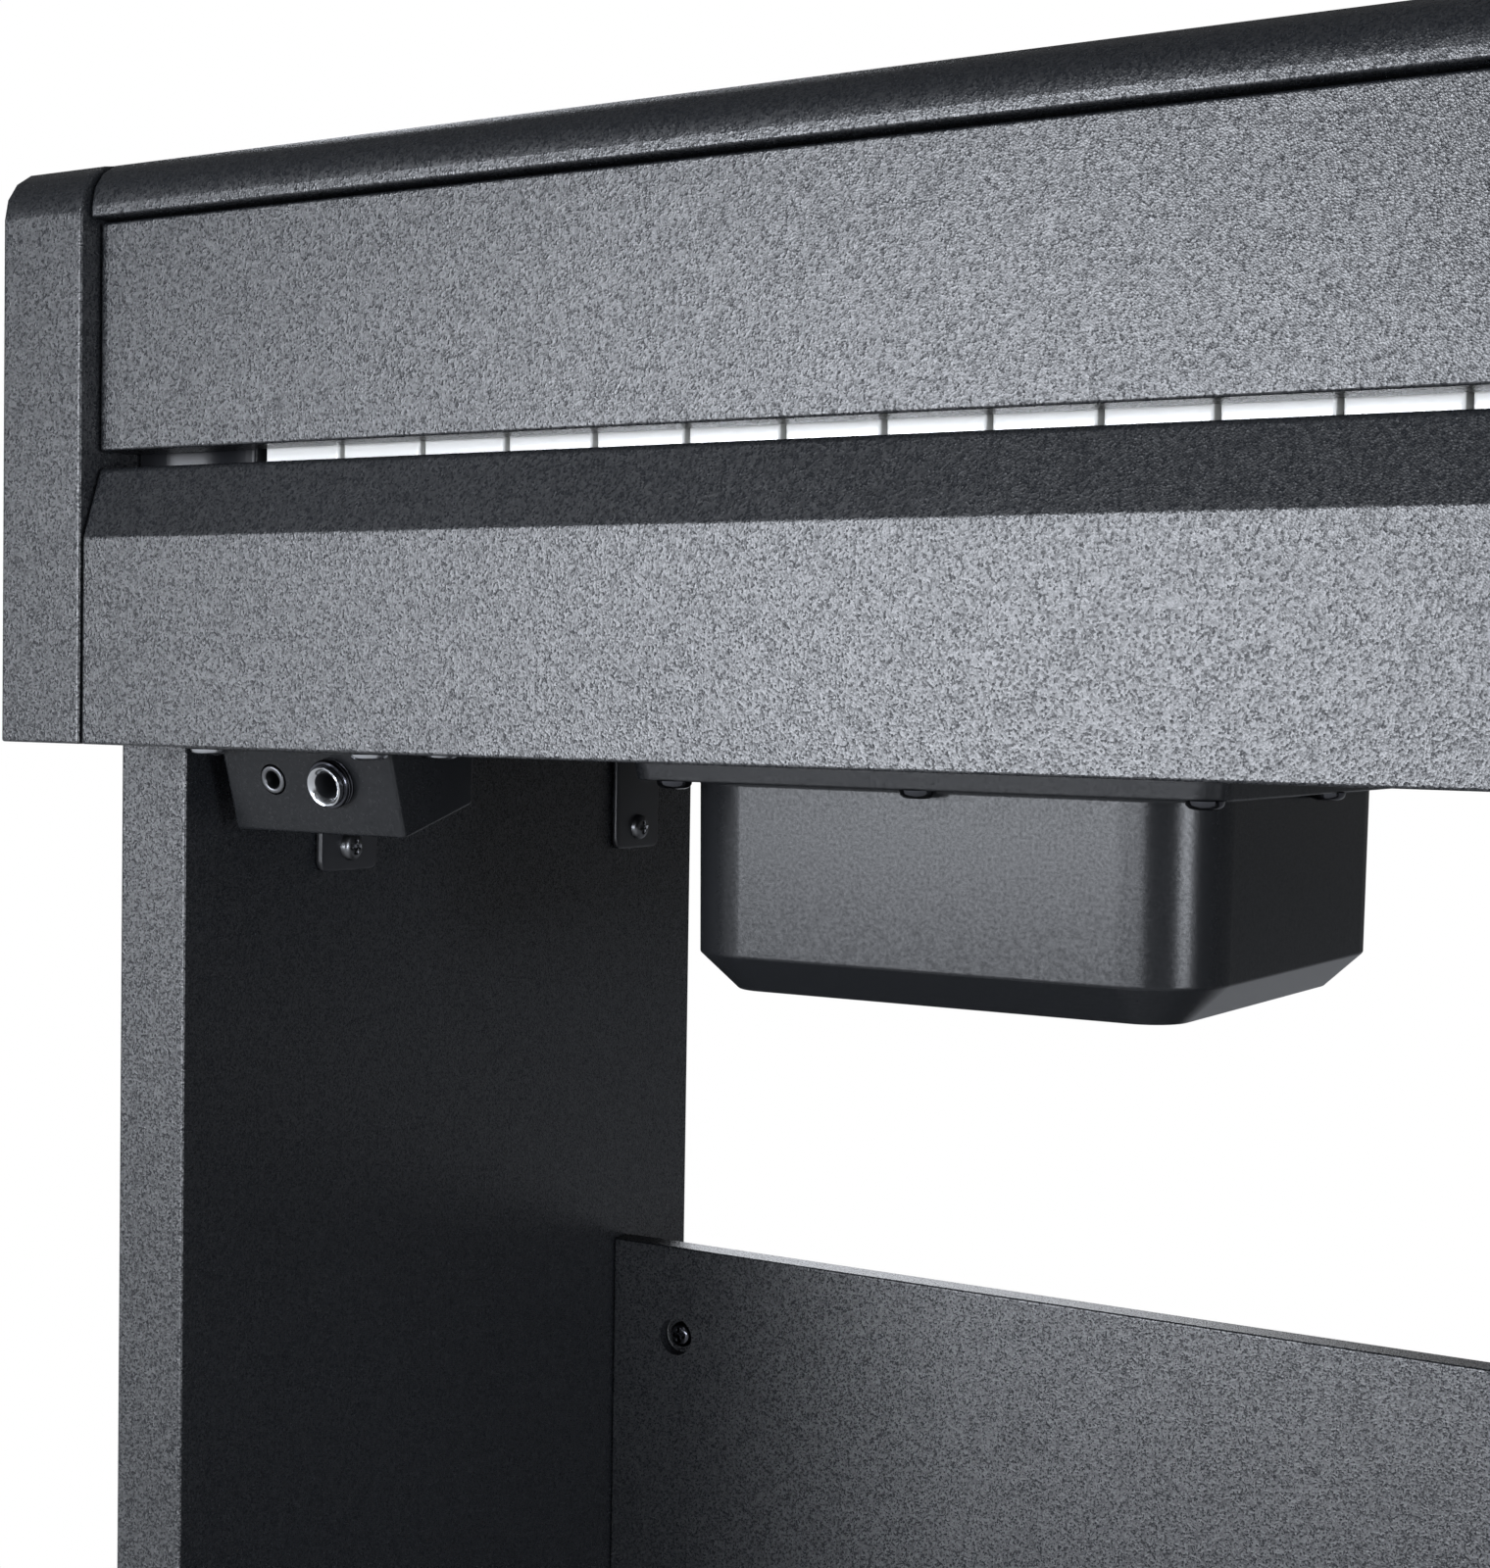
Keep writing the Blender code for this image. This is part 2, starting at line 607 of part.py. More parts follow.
def build_electronics(mats):
    """Main circuit board and power inlet."""
    front = FRAME_REAR + CIRCUIT_MARGIN
    rear = BACK - BACK_THICK - CIRCUIT_MARGIN
    size = rear - front
    floor = BOARD_TOP + TOUCH
    low = (CIRCUIT_X - CIRCUIT_LENGTH, front, floor)
    high = (CIRCUIT_X, rear, floor + CIRCUIT_THICK)
    circuit = add("main_board", box(low, high), mats["circuit"])
    chips = bmesh.new()
    spacing = CIRCUIT_LENGTH / (len(CHIP_SHARES) + 1)
    for place, ((width, length), height) in enumerate(zip(CHIP_SHARES, CHIP_HEIGHTS), 1):
        x, y = low[0] + place * spacing, (front + rear) / 2
        half_x, half_y = size * width / 2, size * length / 2
        chip_low = (x - half_x, y - half_y, floor + CIRCUIT_THICK / 2)
        box(chip_low, (x + half_x, y + half_y, floor + CIRCUIT_THICK + height), chips)
    join(circuit, "chips", chips)
    sill = BOARD_TOP + INLET_RISE
    low = (-INLET_X, BACK - INLET_LENGTH, sill)
    high = (-INLET_X + INLET_WIDTH, BACK, sill + INLET_HEIGHT)
    inlet = add("dc_inlet", box(low, high), mats["satin"])
    centre = (-INLET_X + INLET_WIDTH / 2, sill + INLET_HEIGHT / 2)
    bore = prism(arc(centre, INLET_BORE / 2, 0, 337.5, 15), BACK - INLET_DEPTH, BACK + BOARD, "Y")
    cut(inlet, "inlet_bore", bore)


def jack_frame():
    """Place and turn of the jack box's sloping face: its top left corner, X across, Z up the face."""
    top = CASE_BOTTOM - TOUCH - JACK_FLANGE
    corner = Vector((-OUTER + JACK_X, FRONT + JACK_BACK, top))
    return Matrix.Translation(corner) @ Matrix.Rotation(JACK_TILT, 4, "X")


def jack_wedge(wall, raise_by):
    """Tilted box in the case's frame: square to its sloping face, cut level at the top."""
    frame = jack_frame()
    corners = ((wall, -JACK_FACE + wall), (JACK_DEPTH - wall, -JACK_FACE + wall))
    lower = [frame @ Vector((0, y, z)) for y, z in corners]
    top = frame.translation.z + raise_by
    slope = math.tan(JACK_TILT)
    front = frame @ Vector((0, wall, 0))
    front_y = front.y - (top - front.z) * slope
    rear = frame @ Vector((0, JACK_DEPTH - wall, 0))
    rear_y = rear.y - (top - rear.z) * slope
    outline = [(front_y, top), (lower[0].y, lower[0].z), (lower[1].y, lower[1].z), (rear_y, top)]
    left = frame.translation.x
    return prism(outline, left + wall, left + JACK_WIDTH - wall)


def jack_bore(place, radius, start, end):
    """Straight hole or rod square to the sloping face."""
    mesh = turned(((radius, start), (radius, end)), 20)
    return moved(mesh, (0, 0, 0), jack_place(place))


def jack_place(place):
    """Matrix whose Z axis comes square out of the sloping face at a jack."""
    across, down = place
    return jack_frame() @ Matrix.Translation((across, 0, -down)) @ Matrix.Rotation(math.pi / 2, 4, "X")


def build_jacks(mats):
    """Headphone box under the left end of the case, with a small and a large jack."""
    top = CASE_BOTTOM - TOUCH
    left = jack_frame().translation.x
    front = jack_frame().translation.y
    centre = (left + JACK_WIDTH / 2, front + JACK_DEPTH / 2 + JACK_WALL)
    size = (JACK_WIDTH + 2 * JACK_MARGIN, JACK_DEPTH + 2 * JACK_MARGIN)
    plate = rounded(centre, min(size[0], 2 * (centre[0] + LEG_INNER - RUN)), size[1], JACK_MARGIN / 2, 3)
    shell = add("jack_box", prism(plate, top - JACK_FLANGE, top, "Z"), mats["plastic"])
    join(shell, "jack_wedge", jack_wedge(0, JACK_FLANGE / 2))
    cut(shell, "jack_hollow", jack_wedge(JACK_WALL, BOARD))
    cut(shell, "small_hole", jack_bore(SMALL_JACK, SMALL_RING / 2 + SLIP, -JACK_CLEAR, BOARD))
    cut(shell, "large_hole", jack_bore(LARGE_JACK, LARGE_BUSH / 2 + SLIP, -JACK_CLEAR, BOARD))
    small = ((SMALL_BORE / 2, -JACK_BODY + JACK_WALL), (SMALL_BORE / 2, SLIP), (SMALL_RING / 2, SLIP))
    small += ((SMALL_RING / 2, -JACK_BODY), (JACK_CORE, -JACK_BODY), (JACK_CORE, -JACK_BODY + JACK_WALL))
    body = moved(turned(small, 20, True), (0, 0, 0), jack_place(SMALL_JACK))
    add("jack_small", body, mats["satin"], None, 40)
    rim = LARGE_BEZEL / 2
    bush = LARGE_BUSH / 2
    large = ((LARGE_BORE / 2, -JACK_BODY + JACK_WALL), (LARGE_BORE / 2, LARGE_PROUD), (bush, LARGE_PROUD))
    large += ((bush, 4 * SLIP), (rim, 4 * SLIP), (rim, TOUCH), (bush, TOUCH), (bush, -JACK_BODY))
    large += ((JACK_CORE, -JACK_BODY), (JACK_CORE, -JACK_BODY + JACK_WALL))
    body = moved(turned(large, 20, True), (0, 0, 0), jack_place(LARGE_JACK))
    add("jack_large", body, mats["chrome"], None, 40)


def speaker_centre():
    """Middle of the left speaker box, seen from above."""
    return (-SPEAKER_X, FRONT + SPEAKER_BACK + SPEAKER_LENGTH / 2)


def speaker_floor():
    """Underside of the speaker boxes."""
    return CASE_BOTTOM - SPEAKER_DROP - CHAMFER_HEIGHT


def speaker_box():
    """Left speaker box: a drafted shell, open at the top, with a flange and a round port below."""
    centre = speaker_centre()
    top = CASE_BOTTOM - TOUCH
    turn = CASE_BOTTOM - SPEAKER_DROP
    floor = speaker_floor()
    ledge = top - FLANGE_THICK

    def ring(inset):
        size = (SPEAKER_WIDTH - 2 * inset, SPEAKER_LENGTH - 2 * inset)
        return rounded(centre, size[0], size[1], SPEAKER_CORNER - inset)

    flange = rounded(
        centre, SPEAKER_WIDTH + 2 * SPEAKER_FLANGE, SPEAKER_LENGTH + 2 * SPEAKER_FLANGE, FLANGE_CORNER
    )
    port = port_circle(centre, CONE_RADIUS)
    low = SPEAKER_DRAFT + SPEAKER_CHAMFER
    levels = [
        (flange, top),
        (flange, ledge),
        (ring(0), ledge),
        (ring(SPEAKER_DRAFT), turn),
        (ring(low), floor),
        (port, floor),
        (port, floor + SPEAKER_WALL),
        (ring(low + SPEAKER_WALL / 2), floor + SPEAKER_WALL),
        (ring(SPEAKER_DRAFT + SPEAKER_WALL), turn),
        (ring(SPEAKER_WALL), top),
    ]
    return rings(levels, closed=True)


def port_circle(centre, radius):
    """Circle with as many points as a speaker box's rounded outline, in step with its corners."""
    sides = 20
    lead = 180 / sides
    return arc(centre, radius, lead, lead + 360 - 360 / sides, sides - 1)


def speaker_driver():
    """Left loudspeaker: rim, cone, basket and magnet, facing down."""
    rim = CONE_RADIUS + BASKET_RIM
    plate = GRILLE_THICK
    magnet = DRIVER_HEIGHT - MAGNET_HEIGHT
    profile = (
        (CONE_RADIUS / 4, plate * 4),
        (CONE_RADIUS - plate, plate / 2),
        (CONE_RADIUS, 0),
        (rim, 0),
        (rim, plate),
        (BASKET_NECK, magnet),
        (MAGNET_RADIUS, magnet),
        (MAGNET_RADIUS, DRIVER_HEIGHT),
    )
    centre = speaker_centre()
    base = speaker_floor() + SPEAKER_WALL + TOUCH
    return moved(turned(profile, 24), (centre[0], centre[1], base))


def speaker_grille():
    """Round grille in the left box's port."""
    outline = port_circle(speaker_centre(), CONE_RADIUS - SLIP)
    return prism(outline, speaker_floor(), speaker_floor() + GRILLE_THICK, "Z")


def build_speakers(mats):
    """A speaker box under each end of the case."""
    for side, name in ((-1, "left"), (1, "right")):
        mirrored(speaker_box, f"speaker_box_{name}", side, mats["plastic"])
        mirrored(speaker_driver, f"speaker_driver_{name}", side, mats["satin"])
        mirrored(speaker_grille, f"speaker_grille_{name}", side, mats["steel"])


def leg():
    """Left side board of the stand."""
    foot = FOOT_THICK + TOUCH
    return box((-OUTER, LEG_FRONT, foot), (-LEG_INNER, LEG_REAR, foot + LEG_LENGTH))


def foot_strip():
    """Rubber strip under the left side board."""
    middle = -OUTER + LEG_THICK / 2
    centre = (middle, (LEG_FRONT + LEG_REAR) / 2)
    outline = rounded(centre, FOOT_WIDTH, LEG_DEPTH - 2 * FOOT_MARGIN, FOOT_WIDTH / 3, 3)
    return prism(outline, 0, FOOT_THICK, "Z")


def corner_bracket(back):
    """Steel angle that holds the left side board to the case, its lower corners rounded."""
    inner = -LEG_INNER + TOUCH
    top = CASE_BOTTOM - TOUCH
    low = top - BRACKET_DROP
    front = FRONT + back
    rear = front + BRACKET_WIDTH
    near = (front + BRACKET_ROUND, low + BRACKET_ROUND)
    far = (rear - BRACKET_ROUND, low + BRACKET_ROUND)
    plate = [(rear, top - BRACKET_STEEL / 2), (front, top - BRACKET_STEEL / 2)]
    plate += arc(near, BRACKET_ROUND, 180, 270, 4) + arc(far, BRACKET_ROUND, 270, 360, 4)
    upright = prism(plate, inner, inner + BRACKET_STEEL)
    flat = box((inner, front + TOUCH, top - BRACKET_STEEL), (inner + BRACKET_REACH, rear - TOUCH, top))
    return flat, upright


def panel_cleat():
    """Left block that holds the modesty panel to its side board."""
    top = CASE_BOTTOM - MODESTY_DROP
    front = FRONT + MODESTY_BACK + MODESTY_THICK + TOUCH
    low = (-LEG_INNER + TOUCH, front, top - MODESTY_HEIGHT + CLEAT_MARGIN)
    return box(low, (-LEG_INNER + CLEAT_WIDTH, front + CLEAT_DEPTH, top - CLEAT_MARGIN))


def build_stand(mats):
    """Side boards, feet, brackets and modesty panel."""
    for side, name in ((-1, "left"), (1, "right")):
        mirrored(leg, f"leg_{name}", side, mats["laminate"])
        mirrored(foot_strip, f"foot_strip_{name}", side, mats["rubber"])
        mirrored(panel_cleat, f"panel_cleat_{name}", side, mats["laminate"])
        for place, back in zip(("front", "rear"), BRACKET_BACK):
            flat, upright = corner_bracket(back)
            if side > 0:
                for half in (flat, upright):
                    bmesh.ops.scale(half, vec=(-1, 1, 1), verts=half.verts)
            item = add(f"bracket_{place}_{name}", flat, mats["steel"])
            join(item, f"bracket_upright_{place}_{name}", upright)
    top = CASE_BOTTOM - MODESTY_DROP
    front = FRONT + MODESTY_BACK
    reach = LEG_INNER - TOUCH
    low = (-reach, front, top - MODESTY_HEIGHT)
    add("modesty_panel", box(low, (reach, front + MODESTY_THICK, top)), mats["laminate"])


def pedal(x):
    """Pedal lever: a stem that widens into a round shoe, with a boss and a pin at its pivot."""
    front = BEAM_FRONT - PEDAL_REACH
    shoe = PEDAL_SHOE / 2
    stem = PEDAL_STEM / 2
    rear = PEDAL_PIVOT_Y
    neck = front + PEDAL_SHOE_LENGTH
    outline = arc((x, front + shoe), shoe, 180, 360, 8)
    outline += [(x + shoe, neck - shoe), (x + stem, neck), (x + stem, rear)]
    outline += [(x - stem, rear), (x - stem, neck), (x - shoe, neck - shoe)]
    low = PEDAL_PIVOT_Z - PEDAL_THICK / 2
    return prism(outline, low, low + PEDAL_THICK, "Z")


def rod(x, radius, length, sides):
    """Round bar across the pedals' pivot, centred at x."""
    outline = arc((PEDAL_PIVOT_Y, PEDAL_PIVOT_Z), radius, 0, 360 - 360 / sides, sides - 1)
    return prism(outline, x - length / 2, x + length / 2)


def build_pedals(mats):
    """Beam between the side boards, pedal bracket, three pedals and the levelling foot."""
    reach = LEG_INNER - TOUCH
    rear = BEAM_FRONT + BEAM_DEPTH
    top = BEAM_BOTTOM + BEAM_HEIGHT
    inner = BEAM_FRONT + BEAM_BOARD
    floor = BEAM_BOTTOM + BEAM_BOARD
    outline = [(BEAM_FRONT, BEAM_BOTTOM), (rear, BEAM_BOTTOM), (rear, floor), (inner, floor)]
    outline += [(inner, top - BEAM_BOARD), (rear, top - BEAM_BOARD), (rear, top), (BEAM_FRONT, top)]
    beam = add("pedal_beam", prism(outline, -reach, reach), mats["laminate"])
    slots = bmesh.new()
    inside = SLOT_WIDTH / 2 - EAR
    ear_top = PEDAL_PIVOT_Z + EAR_TOP
    base_top = floor + TOUCH + BRACKET_BASE
    half = BRACKET_LENGTH / 2
    outline = [(-half, floor + TOUCH), (half, floor + TOUCH), (half, base_top)]
    for x in (PEDAL_PITCH, 0.0, -PEDAL_PITCH):
        for ear in (x + inside - EAR, x - inside):
            outline += [(ear + EAR, base_top), (ear + EAR, ear_top), (ear, ear_top), (ear, base_top)]
    outline += [(-half, base_top)]
    back = PEDAL_PIVOT_Y - BOSS_RADIUS
    bracket = add("pedal_bracket", prism(outline, back, rear - TOUCH, "Y"), mats["steel"])
    cut(bracket, "pin_holes", rod(0, PIN_RADIUS + SLIP, BRACKET_LENGTH, 16))
    for number, name in enumerate(("left", "middle", "right"), -1):
        x = number * PEDAL_PITCH
        low = (x - SLOT_WIDTH / 2, BEAM_FRONT - BOARD, PEDAL_PIVOT_Z - SLOT_BELOW)
        box(low, (x + SLOT_WIDTH / 2, inner + BOARD / 3, PEDAL_PIVOT_Z + SLOT_ABOVE), slots)
        pivot = Vector((x, PEDAL_PIVOT_Y, PEDAL_PIVOT_Z))
        item = add(f"pedal_{name}", pedal(x), mats["brass"], pivot)
        join(item, f"pedal_boss_{name}", rod(x, BOSS_RADIUS, PEDAL_STEM + 2 * SLIP, 16))
        join(item, f"pedal_pin_{name}", rod(x, PIN_RADIUS, PIN_LENGTH, 16))
    cut(beam, "pedal_slots", slots)
    place = Vector((0, BEAM_FRONT + ADJUSTER_BACK + BEAM_BOARD, ADJUSTER_LIFT))
    hole = arc((place.x, place.y), ADJUSTER_STEM + SLIP, 0, 337.5, 15)
    cut(beam, "adjuster_hole", prism(hole, 0, floor + BOARD / 3, "Z"))
    profile = ((ADJUSTER_RADIUS, 0), (ADJUSTER_RADIUS, ADJUSTER_DISC), (ADJUSTER_STEM, ADJUSTER_DISC))
    profile += ((ADJUSTER_STEM, ADJUSTER_LENGTH),)
    add("levelling_foot", moved(turned(profile, 20), place), mats["satin"], place, 35)


def build():
    """Model the whole piano."""
    clear_scene()
    mats = {
        "laminate": finish("laminate", (0.045, 0.046, 0.050), 0.42),
        "ivory": finish("ivory", (0.86, 0.86, 0.84), 0.18),
        "ebony": finish("ebony", (0.012, 0.012, 0.013), 0.35),
        "gloss": finish("gloss", (0.010, 0.010, 0.012), 0.12),
        "plastic": finish("plastic", (0.040, 0.040, 0.044), 0.45),
        "satin": finish("satin", (0.016, 0.016, 0.018), 0.40),
        "button": finish("button", (0.030, 0.030, 0.033), 0.50),
        "chassis": finish("chassis", (0.10, 0.10, 0.11), 0.55),
        "circuit": finish("circuit", (0.020, 0.130, 0.050), 0.50),
        "steel": finish("steel", (0.020, 0.020, 0.022), 0.45, 0.6),
        "chrome": finish("chrome", (0.75, 0.75, 0.77), 0.22, 1.0),
        "brass": finish("brass", (0.72, 0.53, 0.24), 0.22, 1.0),
        "rubber": finish("rubber", (0.015, 0.015, 0.015), 0.75),
    }
    build_case(mats)
    build_lid(mats)
    build_keyboard(mats)
    build_controls(mats)
    build_electronics(mats)
    build_jacks(mats)
    build_speakers(mats)
    build_stand(mats)
    build_pedals(mats)


build()
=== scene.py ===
"""Looks of the slim digital piano: finishes, rounded boards, keys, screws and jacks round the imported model.

Units are metres in the model's own frame: X along the keyboard, -Y to the player, +Z up.
"""

import json
import logging
import math
from dataclasses import dataclass, field
from enum import Enum
from typing import Optional, Sequence

import bmesh
import bpy
import numpy as np
from mathutils import Matrix, Vector


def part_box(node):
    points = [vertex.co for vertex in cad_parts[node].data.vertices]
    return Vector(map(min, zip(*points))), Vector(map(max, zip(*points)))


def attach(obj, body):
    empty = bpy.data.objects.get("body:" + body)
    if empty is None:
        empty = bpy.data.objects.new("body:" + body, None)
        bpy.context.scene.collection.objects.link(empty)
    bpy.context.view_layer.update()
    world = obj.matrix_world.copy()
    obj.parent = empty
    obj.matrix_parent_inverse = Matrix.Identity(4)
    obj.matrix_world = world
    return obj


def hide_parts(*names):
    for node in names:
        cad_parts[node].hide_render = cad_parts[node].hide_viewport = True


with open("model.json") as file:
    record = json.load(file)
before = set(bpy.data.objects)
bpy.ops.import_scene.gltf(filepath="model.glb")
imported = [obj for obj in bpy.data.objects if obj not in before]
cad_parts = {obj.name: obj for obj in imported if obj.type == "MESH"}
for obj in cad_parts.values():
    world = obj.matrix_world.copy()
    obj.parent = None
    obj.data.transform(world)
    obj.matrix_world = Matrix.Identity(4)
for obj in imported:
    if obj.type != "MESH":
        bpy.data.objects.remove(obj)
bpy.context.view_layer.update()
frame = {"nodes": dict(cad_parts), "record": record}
LOG = logging.getLogger("piano")
BODY = "piano"
MM = 0.001
SMOOTH_ANGLE = math.radians(40)
HOLD = 0.25 * MM
MERGE = 1e-7


def srgb(code: str) -> tuple[float, float, float, float]:
    """Turn an sRGB hex colour to linear light.

    Each channel c over 0.04045 becomes ((c + 0.055) / 1.055) to the power 2.4, and c / 12.92 below that.

    Args:
        code: Six hex digits, such as "2b2c30".

    Returns:
        Linear red, green and blue, and an alpha of 1.
    """
    values = np.array([int(code[place:place + 2], 16) for place in (0, 2, 4)]) / 255
    linear = np.where(values > 0.04045, ((values + 0.055) / 1.055) ** 2.4, values / 12.92)
    return (*linear.tolist(), 1.0)


def per_metre(size_mm: float) -> float:
    """Scale of a pattern whose real size is given in millimetres."""
    return 1.0 / (size_mm * MM)


def put_node(tree: bpy.types.NodeTree, kind: str, settings: dict, links: dict) -> bpy.types.Node:
    """Add a node with its settings and links.

    Args:
        tree: The material's nodes.
        kind: Type name of the node.
        settings: Values of its properties, or of its sockets where the key starts with "in:".
        links: Output sockets to join to its inputs, by the input's name or number.

    Returns:
        The new node.
    """
    node = tree.nodes.new(kind)
    for key, value in settings.items():
        if key.startswith("in:"):
            node.inputs[key[3:]].default_value = value
        else:
            setattr(node, key, value)
    for key, output in links.items():
        tree.links.new(output, node.inputs[key])
    return node


class Grain(Enum):
    """How a finish's surface was made, which is what its relief shows."""

    PEBBLE = "embossed like leather"
    SPARK = "moulded in a spark-eroded tool"
    POLISH = "polished"
    BRUSH = "brushed along X"


@dataclass(frozen=True)
class Finish:
    """One surface finish: two close tones, a relief and a gloss that varies with it."""

    name: str
    tone: str
    second: str
    roughness: float
    grain: Grain
    size_mm: float
    relief_mm: float
    metallic: float = 0.0
    specular: float = 0.5
    coat: float = 0.0
    spread: float = 0.08
    sheen: float = 0.0

    def material(self) -> bpy.types.Material:
        """Make the material.

        The relief's height drives the bump and mixes the two tones, and the gloss moves the roughness up
        and down by the spread. Where the finish has a sheen, the specular level runs with the gloss from
        its value times (1 - sheen) to its value times (1 + sheen).

        Returns:
            The new material.
        """
        made = bpy.data.materials.new(self.name)
        made.use_nodes = True
        tree = made.node_tree
        shader = tree.nodes["Principled BSDF"]
        shader.inputs["Metallic"].default_value = self.metallic
        shader.inputs["Specular IOR Level"].default_value = self.specular
        shader.inputs["Coat Weight"].default_value = self.coat
        place = put_node(tree, "ShaderNodeTexCoord", {}, {}).outputs["Object"]
        height, gloss = self.relief(tree, place)
        cloud = put_node(tree, "ShaderNodeTexNoise", {"in:Scale": per_metre(90.0), "in:Detail": 3.0},
                         {"Vector": place}).outputs["Fac"]
        both, matt = [put_node(tree, "ShaderNodeMix", {"data_type": "FLOAT", "in:Factor": 0.35},
                               {2: fine, 3: cloud}).outputs[0] for fine in (height, gloss)]
        colour = put_node(tree, "ShaderNodeMix", {"data_type": "RGBA"}, {0: both})
        colour.inputs[6].default_value = srgb(self.tone)
        colour.inputs[7].default_value = srgb(self.second)
        rough = put_node(tree, "ShaderNodeMapRange", {}, {"Value": matt})
        rough.inputs["To Min"].default_value = self.roughness - self.spread
        rough.inputs["To Max"].default_value = self.roughness + self.spread
        bump = put_node(tree, "ShaderNodeBump", {}, {"Height": height})
        bump.inputs["Distance"].default_value = self.relief_mm * MM
        if self.sheen:
            level = put_node(tree, "ShaderNodeMapRange", {}, {"Value": gloss})
            level.inputs["To Min"].default_value = self.specular * (1 - self.sheen)
            level.inputs["To Max"].default_value = self.specular * (1 + self.sheen)
            tree.links.new(level.outputs[0], shader.inputs["Specular IOR Level"])
        tree.links.new(colour.outputs[2], shader.inputs["Base Color"])
        tree.links.new(rough.outputs[0], shader.inputs["Roughness"])
        tree.links.new(bump.outputs[0], shader.inputs["Normal"])
        made.diffuse_color = srgb(self.tone)
        return made

    def relief(self, tree: bpy.types.NodeTree,
               place: bpy.types.NodeSocket) -> tuple[bpy.types.NodeSocket, bpy.types.NodeSocket]:
        """Make the height pattern of the grain, on coordinates turned away from the boards' planes.

        Args:
            tree: The material's nodes.
            place: Coordinates in metres.

        Returns:
            The sockets with the height and with the gloss, both about 0 to 1. Each pebble has a gloss of its
            own, and elsewhere the gloss is the height.
        """
        scale = per_metre(self.size_mm)
        if self.grain is Grain.PEBBLE:
            turned_place = put_node(tree, "ShaderNodeMapping", {"in:Rotation": (0.6, 0.9, 0.3)}, {"Vector": place})
            cells = put_node(tree, "ShaderNodeTexVoronoi", {"in:Scale": scale}, {"Vector": turned_place.outputs[0]})
            own = put_node(tree, "ShaderNodeSeparateColor", {}, {0: cells.outputs["Color"]}).outputs[0]
            return cells.outputs["Distance"], own
        if self.grain is Grain.BRUSH:
            stretch = put_node(tree, "ShaderNodeMapping", {"in:Scale": (0.02, 1.0, 1.0)}, {"Vector": place})
            lines = put_node(tree, "ShaderNodeTexNoise", {"in:Scale": scale, "in:Detail": 4.0},
                             {"Vector": stretch.outputs[0]})
            return lines.outputs["Fac"], lines.outputs["Fac"]
        noise = put_node(tree, "ShaderNodeTexNoise", {"in:Scale": scale, "in:Detail": 3.0}, {"Vector": place})
        return noise.outputs["Fac"], noise.outputs["Fac"]


# Particle board under a black paper laminate, embossed with a fine pebble: satin, with a glint of its own on each
LAMINATE = Finish("embossed_laminate", "0e0f11", "16181b", 0.30, Grain.PEBBLE, 0.44, 0.06, specular=0.50,
                  spread=0.09, sheen=0.75)
# Acrylic-faced moulded keys, polished
IVORY = Finish("polished_white_acrylic", "dfdfdc", "d9d9d6", 0.14, Grain.POLISH, 40.0, 0.004, coat=0.3, spread=0.03)
# Black keys, moulded in a matt tool
EBONY = Finish("matt_black_abs", "141416", "1b1b1d", 0.42, Grain.SPARK, 0.35, 0.010, specular=0.4)
# End blocks, moulded in a polished tool
GLOSS = Finish("polished_black_abs", "101113", "15161a", 0.32, Grain.POLISH, 30.0, 0.004, specular=0.20, spread=0.03)
# Speaker boxes and headphone box, moulded in a fine spark-eroded tool
SHELL = Finish("spark_textured_abs", "131415", "18191b", 0.26, Grain.SPARK, 0.80, 0.010, specular=0.18, spread=0.03,
               sheen=0.9)
# Panel, ledge and small moulded pieces
SATIN = Finish("satin_black_abs", "141517", "1b1c1f", 0.38, Grain.SPARK, 0.60, 0.012, specular=0.35)
BUTTON = Finish("soft_touch_button", "26272a", "2f3034", 0.55, Grain.SPARK, 0.30, 0.010)
CHASSIS = Finish("glass_filled_nylon", "55565a", "626368", 0.55, Grain.SPARK, 1.5, 0.030)
CIRCUIT = Finish("green_solder_mask", "1d5c33", "256b3d", 0.35, Grain.SPARK, 2.5, 0.020, coat=0.3)
# Steel angles and hinges under a thin black powder coat
STEEL = Finish("black_powder_coat", "131416", "1b1c1f", 0.34, Grain.SPARK, 0.5, 0.020, specular=0.4)
# Turned bush and nut, nickel and chrome plated
CHROME = Finish("bright_chrome", "b2b4b7", "bfc1c4", 0.17, Grain.BRUSH, 1.0, 0.004, metallic=1.0, spread=0.04)
# Ring of the small socket and screws of the angles, nickel plated and not polished
NICKEL = Finish("matt_nickel", "5c5d5f", "68696b", 0.34, Grain.SPARK, 0.4, 0.004, metallic=1.0, spread=0.04)
# Thin nickel plate that has a dark tone, on the large socket's nut
BLACK_CHROME = Finish("black_nickel", "3a3b3f", "48494e", 0.22, Grain.BRUSH, 0.8, 0.004, metallic=1.0, spread=0.04)
# Cross-head screws, zinc plated and passivated black: dark, with sharp glints
BLACK_ZINC = Finish("black_zinc", "3c3d41", "494a4e", 0.13, Grain.SPARK, 0.4, 0.004, metallic=1.0, spread=0.03)
# Screws of the headphone box, zinc plated: light grey, with soft glints
ZINC = Finish("bright_zinc", "a4a6aa", "b2b4b8", 0.20, Grain.SPARK, 0.4, 0.004, metallic=1.0, spread=0.04)
# Pedals, polished brass
BRASS = Finish("polished_brass", "d0a85a", "c69a48", 0.20, Grain.BRUSH, 1.2, 0.006, metallic=1.0, spread=0.05)
RUBBER = Finish("moulded_rubber", "161617", "202021", 0.78, Grain.SPARK, 0.8, 0.030)

